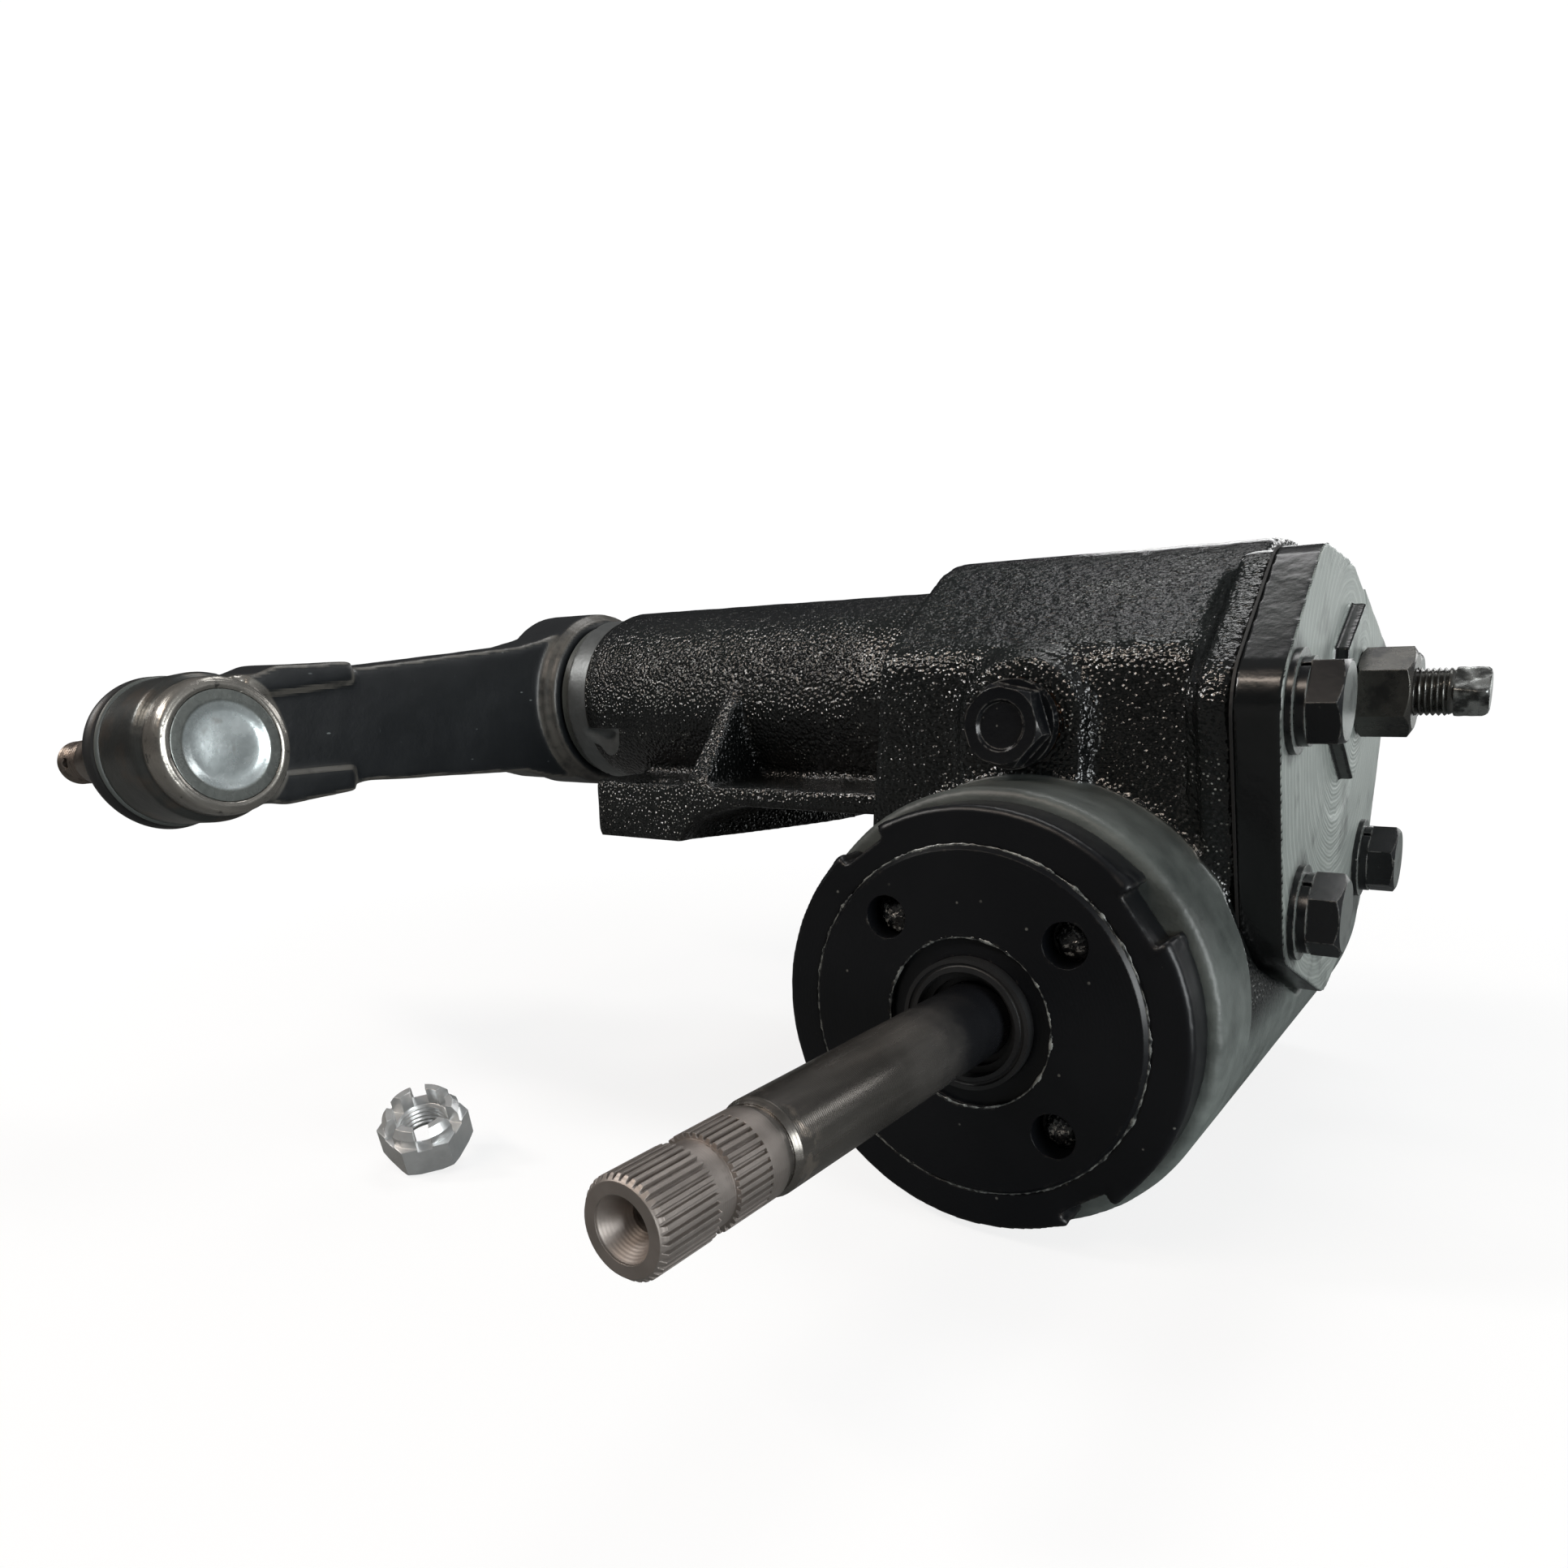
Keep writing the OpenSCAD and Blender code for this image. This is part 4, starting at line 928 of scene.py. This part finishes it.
skin("lock_ring_notched", "adjuster_lock_ring", voxel=0.55, rounds=4,
     keep=ring_keep, wobble=ring_wobble, material="smooth_black", body=BODY)


# ---------- lathe helpers ----------
def lathe(name, matrix, profile, material, segments, shape=None, closed=True):
    """Spin (along, radius) points in mm about the matrix's X axis.
    shape(along, radius, angle) may move each point."""
    points = []
    for profile_along, profile_radius in profile:
        for k in range(segments):
            angle = 2 * math.pi * k / segments
            along, out = profile_along, profile_radius
            if shape:
                along, out = shape(along, out, angle)
            points.append(matrix @ Vector((along * MM, out * MM * math.cos(angle),
                                           out * MM * math.sin(angle))))
    piece = mesh_object(name, points, grid_faces(len(profile), segments, closed), material)
    weld(piece, distance=1e-7)
    return piece


def resample(profile, step):
    """Split each span into equal parts no longer than step."""
    points = []
    for a, b in zip(profile[:-1], profile[1:]):
        parts = max(1, int(math.ceil(math.dist(a, b) / step)))
        for k in range(parts):
            t = k / parts
            points.append((a[0] + (b[0] - a[0]) * t, a[1] + (b[1] - a[1]) * t))
    return points + [profile[-1]]


def soften(profile):
    """Cut the corners twice, keeping the ends."""
    for _ in range(2):
        points = [profile[0]]
        for a, b in zip(profile[:-1], profile[1:]):
            points.append((a[0] * .75 + b[0] * .25, a[1] * .75 + b[1] * .25))
            points.append((a[0] * .25 + b[0] * .75, a[1] * .25 + b[1] * .75))
        profile = points + [profile[-1]]
    return profile


def crest(along, pitch, angle):
    """Height of a V thread, from 0 in its root to 1 on its crest."""
    turns = (along / pitch) - angle / (2 * math.pi)
    turns = turns - math.floor(turns)
    return 1 - abs(2 * turns - 1)


# ---------- lash screw with its cut thread and battered square drive ----------
SCREW_RADIUS = 4.9
SCREW_PITCH = 1.06
DRIVE_START = SCREW_END - 6.2
NECK_START = SCREW_END - 7.0


def screw_shape(along, out, angle):
    if 33.2 < along < SCREW_END - 0.05 and out > 3.0:
        if along < DRIVE_BACK:
            fade = min(1.0, max(0.0, (along - 33.2) / 1.0), max(0.0, (DRIVE_BACK - along) / 0.8))
            out = SCREW_RADIUS - 0.62 * (1 - crest(along, SCREW_PITCH, angle)) * fade
        if along > DRIVE_START:
            # square, tapering towards the end
            half = 3.95 - 0.085 * (along - DRIVE_START)
            for k in range(4):
                cosine = math.cos(angle - math.radians(45 + 90 * k))
                if cosine > 1e-4:
                    out = min(out, half / cosine)
            out += 0.14 * noise.noise(Vector((along * 0.8, math.cos(angle) * 2.2,
                                              math.sin(angle) * 2.2 + 7)))
    return along, out


# (along, radius) in mm: head, thread, neck, square, chamfered end
screw_profile = (
    [(29.5, 0.02), (29.5, 7.7), (29.8, 8.0), (32.6, 8.0), (32.9, 7.7), (32.9, SCREW_RADIUS)]
    + [(along, SCREW_RADIUS) for along in np.arange(33.1, NECK_START, 0.13)]
    + [(NECK_START, 4.3), (SCREW_END - 6.3, 4.3), (SCREW_END - 6.1, 4.85)]
    + [(along, SCREW_RADIUS) for along in np.arange(SCREW_END - 5.9, SCREW_END - 0.9, 0.25)]
    + [(SCREW_END - 0.7, 4.75), (SCREW_END - 0.25, 4.35), (SCREW_END - 0.05, 3.7),
       (SCREW_END, 2.9), (SCREW_END, 0.02)])
lash = lathe("lash_screw_threaded", Matrix.Identity(4), screw_profile, "lash_steel",
             segments=72, shape=screw_shape, closed=False)
declare(lash, "lash_adjuster", ["lash_screw"][0])
crisp_edges(lash)
POLE_WELD = 3e-5        # metres; merges the tiny rings left round a lathe's poles
weld(lash, POLE_WELD, close=True)

# ---------- ball stud: ball, taper, cut thread, cotter hole ----------
STUD_BALL_RADIUS = 11
TAPER_WIDE, TAPER_SMALL = 7.7, 6.55
STUD_THREAD_RADIUS = 5.9
STUD_PITCH = 1.25


def stud_shape(along, out, angle):
    if -65.9 < along < -54.6 and out > 5.0:
        fade = min(1.0, (along + 65.9) / 0.8, (-54.6 - along) / 0.8)
        out = STUD_THREAD_RADIUS - 0.72 * (1 - crest(along, STUD_PITCH, angle)) * max(0.0, fade)
    return along, out


# (along, radius) in mm: flat, ball, neck, collar, taper, thread, rounded end
stud_profile = (
    [(8.6, 0.02), (8.6, 6.7)]
    + [(STUD_BALL_RADIUS * math.cos(angle), STUD_BALL_RADIUS * math.sin(angle))
       for angle in np.linspace(math.asin(6.86 / STUD_BALL_RADIUS), math.radians(149.4), 26)]
    + [(-11.2, 5.6), (-26.8, 5.6), (-27.5, 6.2), (-27.9, 7.9), (-32.7, 7.9), (-33.0, TAPER_WIDE)]
    + [(along, TAPER_WIDE - (TAPER_WIDE - TAPER_SMALL) * (-33 - along) / 21)
       for along in np.linspace(-34, -53.8, 12)]
    + [(-54.0, 6.4), (-54.3, 5.95)]
    + [(along, STUD_THREAD_RADIUS) for along in np.arange(-54.5, -66.0, -0.16)]
    + [(-66.1, 5.85), (-67.6, 5.3), (-68.25, 4.7), (-68.4, 4.2), (-68.4, 0.02)])
stud = lathe("ball_stud_threaded", BALL_MATRIX, stud_profile, "stud_steel",
             segments=72, shape=stud_shape, closed=False)
hole_matrix = (BALL_MATRIX @ Matrix.Translation((-0.062, 0, 0))
               @ Matrix.Rotation(math.pi / 2, 4, "Z"))
hole = lathe("cotter_cut", hole_matrix, [(-10, 0.02), (-10, 1.6), (10, 1.6), (10, 0.02)],
             "stud_steel", segments=32, closed=False)
# both must be closed solids before cutting
weld(stud, POLE_WELD, close=True)
weld(hole, POLE_WELD, close=True)
cut = stud.modifiers.new("cut", "BOOLEAN")
cut.operation = "DIFFERENCE"
cut.object = hole
cut.solver = "EXACT"
cut_depsgraph = bpy.context.evaluated_depsgraph_get()
cut_mesh = bpy.data.meshes.new_from_object(stud.evaluated_get(cut_depsgraph))
stud.modifiers.clear()
stud.data = cut_mesh
bpy.data.objects.remove(hole)
dress(stud, "stud_steel")
crisp_edges(stud)
declare(stud, "stud", "ball_stud")

# ---------- dust boot: rolled lip over the socket, bulge, neck on the stud ----------
# (along, radius) in mm, socket end to stud end
BOOT_OUTSIDE = [
    (-11.9, 17.2), (-12.0, 18.0), (-12.6, 18.55), (-13.2, 18.2), (-13.6, 17.35),
    (-14.1, 17.1), (-14.7, 17.5), (-15.3, 18.5), (-17.2, 19.0), (-19.2, 18.3),
    (-21.6, 16.0), (-23.6, 13.9), (-25.3, 13.0), (-26.4, 13.1), (-27.3, 12.6),
    (-28.2, 11.5), (-29.2, 10.6), (-30.0, 10.0), (-30.6, 9.8), (-31.2, 10.0),
    (-31.9, 10.7), (-32.4, 10.7), (-32.7, 10.2), (-32.75, 9.0), (-32.6, 8.0)]
# (along, radius) in mm, stud end back to socket end
BOOT_INSIDE = [
    (-31.0, 7.95), (-28.6, 8.0), (-27.2, 9.0), (-26.0, 11.4), (-24.2, 11.9),
    (-22.6, 12.6), (-20.5, 14.4), (-18.5, 16.4), (-16.8, 17.2), (-15.6, 16.8),
    (-14.4, 15.9), (-13.4, 15.95), (-13.25, 16.45), (-12.4, 16.5), (-11.95, 16.8)]


def boot_shape(along, out, angle):
    """Slight lumps and sag, fading to nothing at both gripped ends."""
    place = Vector((along * 0.09, math.cos(angle) * 1.1, math.sin(angle) * 1.1))
    free = max(0.0, min(1.0, (-13.0 - along) / 4.0)) * max(0.0, min(1.0, (along + 31.0) / 5.0))
    sag = -0.35 * math.sin(angle) * free
    lumps = 0.012 * noise.noise(place + Vector((3, 1, 4))) * free
    return along, out * (1 + lumps) + sag * 0.6


boot = lathe("dust_boot_moulded", BALL_MATRIX,
             resample(soften(BOOT_OUTSIDE), 0.45) + resample(soften(BOOT_INSIDE), 0.6),
             "seal_rubber", segments=128, shape=boot_shape)
declare(boot, replaced="dust_boot")
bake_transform(boot)

# ---------- socket: pressed cap with a soft dish, and the rolled rim that holds it ----------
# (along, radius) in mm; the cap's outside from its edge to the middle of the dish
CAP_EDGE = (9.45, 12.9)
CAP_OUTSIDE = [
    (9.45, 13.12), (12.74, 13.12), (12.82, 13.0), (12.82, 10.9), (12.78, 10.5),
    (12.58, 10.0), (12.22, 9.3), (11.96, 8.6), (11.84, 8.0), (11.78, 7.0),
    (11.82, 5.8), (11.95, 4.4), (12.08, 3.0), (12.16, 1.6), (12.18, 0.02)]
CAP_INSIDE = [(11.15, 0.02), (11.1, 1.5), (10.9, 3.4), (10.4, 5.0), (9.45, 6.6)]
RIM_OUTLINE = [
    (5.9, 15.6), (5.95, 16.15), (6.3, 16.32), (8.5, 16.34), (10.4, 16.30), (11.5, 16.08),
    (12.3, 15.65), (12.85, 15.05), (13.12, 14.4), (13.12, 13.9), (12.98, 13.5),
    (12.8, 13.25), (12.5, 13.22), (11.5, 13.3), (11.0, 14.6), (6.6, 15.4)]


def rim_shape(along, out, angle):
    place = Vector((along * 0.25, math.cos(angle) * 3.0, math.sin(angle) * 3.0))
    return (along + 0.05 * noise.noise(place),
            out + 0.07 * noise.noise(place + Vector((5, 2, 9))))


cap = lathe("socket_cap_pressed", BALL_MATRIX,
            [CAP_EDGE] + soften(resample(CAP_OUTSIDE, 1.6)) + CAP_INSIDE,
            "cap_zinc", segments=96)
declare(cap, "sector", "socket_cap")
rim = lathe("socket_rolled_rim", BALL_MATRIX, soften(RIM_OUTLINE), "arm_black",
            segments=160, shape=rim_shape)
declare(rim, "sector")

# ---------- castle nut: internal thread ----------
# The spare nut is propped on one corner; this is the CAD nut's own pose.
NUT_MATRIX = (Matrix.Translation((-0.1215, -0.117, -0.0998))
              @ Matrix.Rotation(math.radians(-53.2), 4, "Z")
              @ Matrix.Rotation(math.radians(24.5), 4, "Y")
              @ Matrix.Rotation(-math.pi / 2, 4, "Y"))
NUT_BORE = 5.7


def nut_shape(along, out, angle):
    if out < 5.8:
        fade = min(1.0, max(0.0, (along - 0.5) / 0.5), max(0.0, (7.2 - along) / 0.5))
        out = 5.85 - 0.62 * (1 - crest(along, STUD_PITCH, angle)) * fade
    return along, out


nut_profile = ([(0.45, NUT_BORE)] + [(along, NUT_BORE) for along in np.arange(0.6, 7.3, 0.16)]
               + [(7.35, NUT_BORE), (7.35, 6.02), (0.45, 6.02)])
nut_thread = lathe("castle_nut_thread", NUT_MATRIX, nut_profile, "bright_zinc",
                   segments=64, shape=nut_shape)
declare(nut_thread, BODY)


# ---------- paint beads where the adjuster's thread meets the lock ring, and round the seal ----------
def bead(name, ring_radius, y, thickness, seed, unevenness):
    """Wire of hardened paint round the worm axis; its thickness varies, y is in metres."""
    around, section = 420, 8
    flattening = 0.7
    points = []
    for k in range(around):
        angle = 2 * math.pi * k / around
        cosine, sine = math.cos(angle), math.sin(angle)
        broad = noise.noise(Vector((cosine * 9, sine * 9, seed)))
        fine = noise.noise(Vector((cosine * 34, sine * 34, seed + 5)))
        size = max(0.12, min(1.5, 0.75 + unevenness * 2.2 * broad + 0.55 * fine)) * thickness
        middle = ring_radius + 0.25 * fine * thickness
        for q in range(section):
            turn = 2 * math.pi * q / section
            out = (middle + size * math.cos(turn)) * MM
            points.append((out * cosine, y + size * flattening * MM * math.sin(turn),
                           WORM_Z + out * sine))
    faces = [(a, d, c, b) for a, b, c, d in grid_faces(around, section, closed=True)]
    declare(mesh_object(name, points, faces, "paint_bead"), BODY)


bead("adjuster_paint_bead", ADJUSTER_RADIUS / MM + 0.1, RING_FRONT + 0.0002,
     thickness=0.42, seed=3.1, unevenness=0.42)
bead("seal_paint_bead", 16.9, ADJUSTER_FRONT + 0.0002, thickness=0.34, seed=8.4, unevenness=0.4)


# ---------- dried paint in the adjuster's spanner holes ----------
def puddle(name, x_mm, z_mm, y, size, height, seed):
    """Domed puddle with an uneven edge, facing -Y; place from the worm axis, y in metres."""
    rings, around = 7, 30
    points = []
    for i in range(rings):
        t = i / (rings - 1)
        for k in range(around):
            angle = 2 * math.pi * k / around
            cosine, sine = math.cos(angle), math.sin(angle)
            edge = 1 + 0.22 * noise.noise(Vector((cosine * 1.7, sine * 1.7, seed)))
            out = size * t * edge
            lumps = 0.35 * noise.noise(Vector((out * cosine * 1.1, out * sine * 1.1, seed + 3)))
            rise = height * ((1 - t * t) ** 0.6) * (1 + lumps) - 0.12
            points.append(((x_mm + out * cosine) * MM, y - rise * MM,
                           WORM_Z + (z_mm + out * sine) * MM))
    faces = grid_faces(rings, around, closed=False)
    back = len(points)
    points.append((x_mm * MM, y + 0.4 * MM, WORM_Z + z_mm * MM))
    last = (rings - 1) * around
    faces += [(last + k, last + (k + 1) % around, back) for k in range(around)]
    piece = mesh_object(name, points, faces, "wet_paint")
    weld(piece, distance=1e-7)
    declare(piece, BODY)


SPANNER_CIRCLE = 26     # radius of the spanner holes' circle, mm
for k in range(4):
    hole_angle = math.radians(43 + 90 * k)
    puddle("spanner_hole_paint_%d" % k, SPANNER_CIRCLE * math.cos(hole_angle),
           SPANNER_CIRCLE * math.sin(hole_angle), RING_FRONT + 0.0052,
           size=4.25, height=2.7 + 0.7 * (k % 2), seed=2.0 + k)

# ---------- stage ----------
BACKDROP_GLOW = 1.02    # strength of the white seen by the camera


def mix_for_camera(tree, unseen, seen):
    """One shader for camera rays, another for all other rays."""
    camera_ray = add_node(tree, "LightPath").outputs["Is Camera Ray"]
    return add_node(tree, "MixShader", {0: camera_ray, 1: unseen, 2: seen})


def stage_floor():
    """Pale sweep: soft shadow near the part, even white further out, grey to other rays."""
    mesh = bpy.data.meshes.new("floor")
    bm = bmesh.new()
    bmesh.ops.create_grid(bm, x_segments=8, y_segments=8, size=60.0)
    bm.to_mesh(mesh)
    bm.free()
    floor = link_object("floor", mesh)
    floor.location = (0, 0, FLOOR_Z - 0.0001)
    material = bpy.data.materials.new("floor_white")
    material.use_nodes = True
    tree = material.node_tree
    tree.nodes.clear()
    white = add_node(tree, "BsdfDiffuse", {0: (0.92, 0.92, 0.92)})
    grey = add_node(tree, "BsdfDiffuse", {0: (0.16, 0.165, 0.165)})
    glow = add_node(tree, "Emission", {0: (1, 1, 1), 1: BACKDROP_GLOW})
    position = add_node(tree, "NewGeometry").outputs["Position"]
    away = add_node(tree, "VectorMath", {0: position, 1: (0.06, -0.03, FLOOR_Z)},
                    operation="DISTANCE")
    fade = add_node(tree, "MapRange", {
        "Value": away.outputs["Value"], "From Min": 0.12, "From Max": 0.55,
        "To Min": 0.80, "To Max": 1.0}, interpolation_type="SMOOTHSTEP")
    sweep = add_node(tree, "MixShader", {0: fade, 1: white, 2: glow})
    add_node(tree, "OutputMaterial", {0: mix_for_camera(tree, grey, sweep)})
    mesh.materials.append(material)


def studio_world():
    """White to the camera; a dim room with a brighter +X side to everything else."""
    world = bpy.data.worlds.new("studio")
    scene.world = world
    world.use_nodes = True
    tree = world.node_tree
    tree.nodes.clear()
    direction = add_node(tree, "SeparateXYZ",
                         {0: add_node(tree, "TexCoord").outputs["Generated"]})
    height = add_node(tree, "MapRange", {
        "Value": direction.outputs[2], "From Min": -1, "From Max": 1})
    room = add_node(tree, "ValToRGB", {0: height})
    room.color_ramp.interpolation = "EASE"
    stops = room.color_ramp.elements
    stops[0].position = 0.0
    stops[0].color = (0.10, 0.105, 0.105, 1)
    stops[1].position = 1.0
    stops[1].color = (0.16, 0.165, 0.17, 1)
    # position from straight down to straight up, colour
    for position, color in ((0.50, (0.020, 0.021, 0.022, 1)),
                            (0.66, (0.030, 0.031, 0.033, 1)),
                            (0.84, (0.10, 0.103, 0.107, 1))):
        stops.new(position).color = color
    side = add_node(tree, "MapRange", {
        "Value": direction.outputs[0], "From Min": 0.25, "From Max": 1.0,
        "To Min": 0.0, "To Max": 0.30}, interpolation_type="SMOOTHSTEP")
    lit_room = add_node(tree, "Mix", {0: 1.0, 6: room, 7: side},
                        data_type="RGBA", blend_type="ADD")
    unseen = add_node(tree, "Background", {0: lit_room.outputs[2], 1: 1.0})
    seen = add_node(tree, "Background", {0: (1, 1, 1), 1: BACKDROP_GLOW})
    add_node(tree, "OutputWorld", {0: mix_for_camera(tree, unseen, seen)})


def area_light(name, place, target, width, height, power, color):
    light = bpy.data.lights.new(name, "AREA")
    light.shape = "RECTANGLE"
    light.size = width
    light.size_y = height
    light.energy = power
    light.color = color
    lamp = link_object(name, light)
    lamp.location = Vector(place) + ORIGIN
    aim = Vector(target) - Vector(place)
    lamp.rotation_euler = aim.to_track_quat("-Z", "Y").to_euler()


def studio_camera():
    place = Vector((0.08972, -0.26652, 0.00749)) + ORIGIN
    # radians: yaw from +Y towards +X, pitch upward, roll about the view
    yaw, pitch, roll = -0.6343, -0.2016, -0.0271
    forward = Vector((math.sin(yaw) * math.cos(pitch), math.cos(yaw) * math.cos(pitch),
                      math.sin(pitch)))
    level = Vector((math.cos(yaw), -math.sin(yaw), 0))
    upright = level.cross(forward)
    right = math.cos(roll) * level + math.sin(roll) * upright
    upward = -math.sin(roll) * level + math.cos(roll) * upright
    lens = bpy.data.cameras.new("camera")
    lens.sensor_fit = "HORIZONTAL"
    lens.sensor_width = 36
    lens.lens = 25.3635093
    lens.shift_x = 0.0111873706
    lens.shift_y = 0.0729254658
    lens.clip_start = 0.01
    lens.clip_end = 50
    camera = link_object("camera", lens)
    camera.matrix_world = (Matrix.Translation(place)
                           @ Matrix((right, upward, -forward)).transposed().to_4x4())
    scene.camera = camera


stage_floor()
studio_world()
MIDDLE = (-0.04, -0.03, -0.03)
# name, place, target, width, height, power in watts, colour
for light_row in (
        ("top_soft", (-0.05, 0.45, 1.25), MIDDLE, 0.9, 0.35, 5.0, (1.0, 1.0, 1.0)),
        ("key_left", (-0.95, -0.75, 0.80), MIDDLE, 0.24, 0.24, 6.5, (1.0, 0.97, 0.94)),
        ("warm_strip", (-0.30, -1.0, 0.92), MIDDLE, 0.75, 0.14, 6.5, (1.0, 0.86, 0.74)),
        ("right_fill", (1.15, -0.35, 0.10), MIDDLE, 0.7, 0.7, 17.0, (0.95, 0.99, 1.0)),
        ("back_rim", (0.2, 1.3, 0.42), MIDDLE, 1.5, 0.22, 4.5, (1, 1, 1)),
        ("back_card", (0.55, 1.25, -0.03), (0.05, 0.0, -0.03), 0.62, 0.36, 1.1,
         (0.97, 1.0, 0.98))):
    area_light(*light_row)
studio_camera()
scene.view_settings.view_transform = "Standard"
scene.view_settings.look = "None"
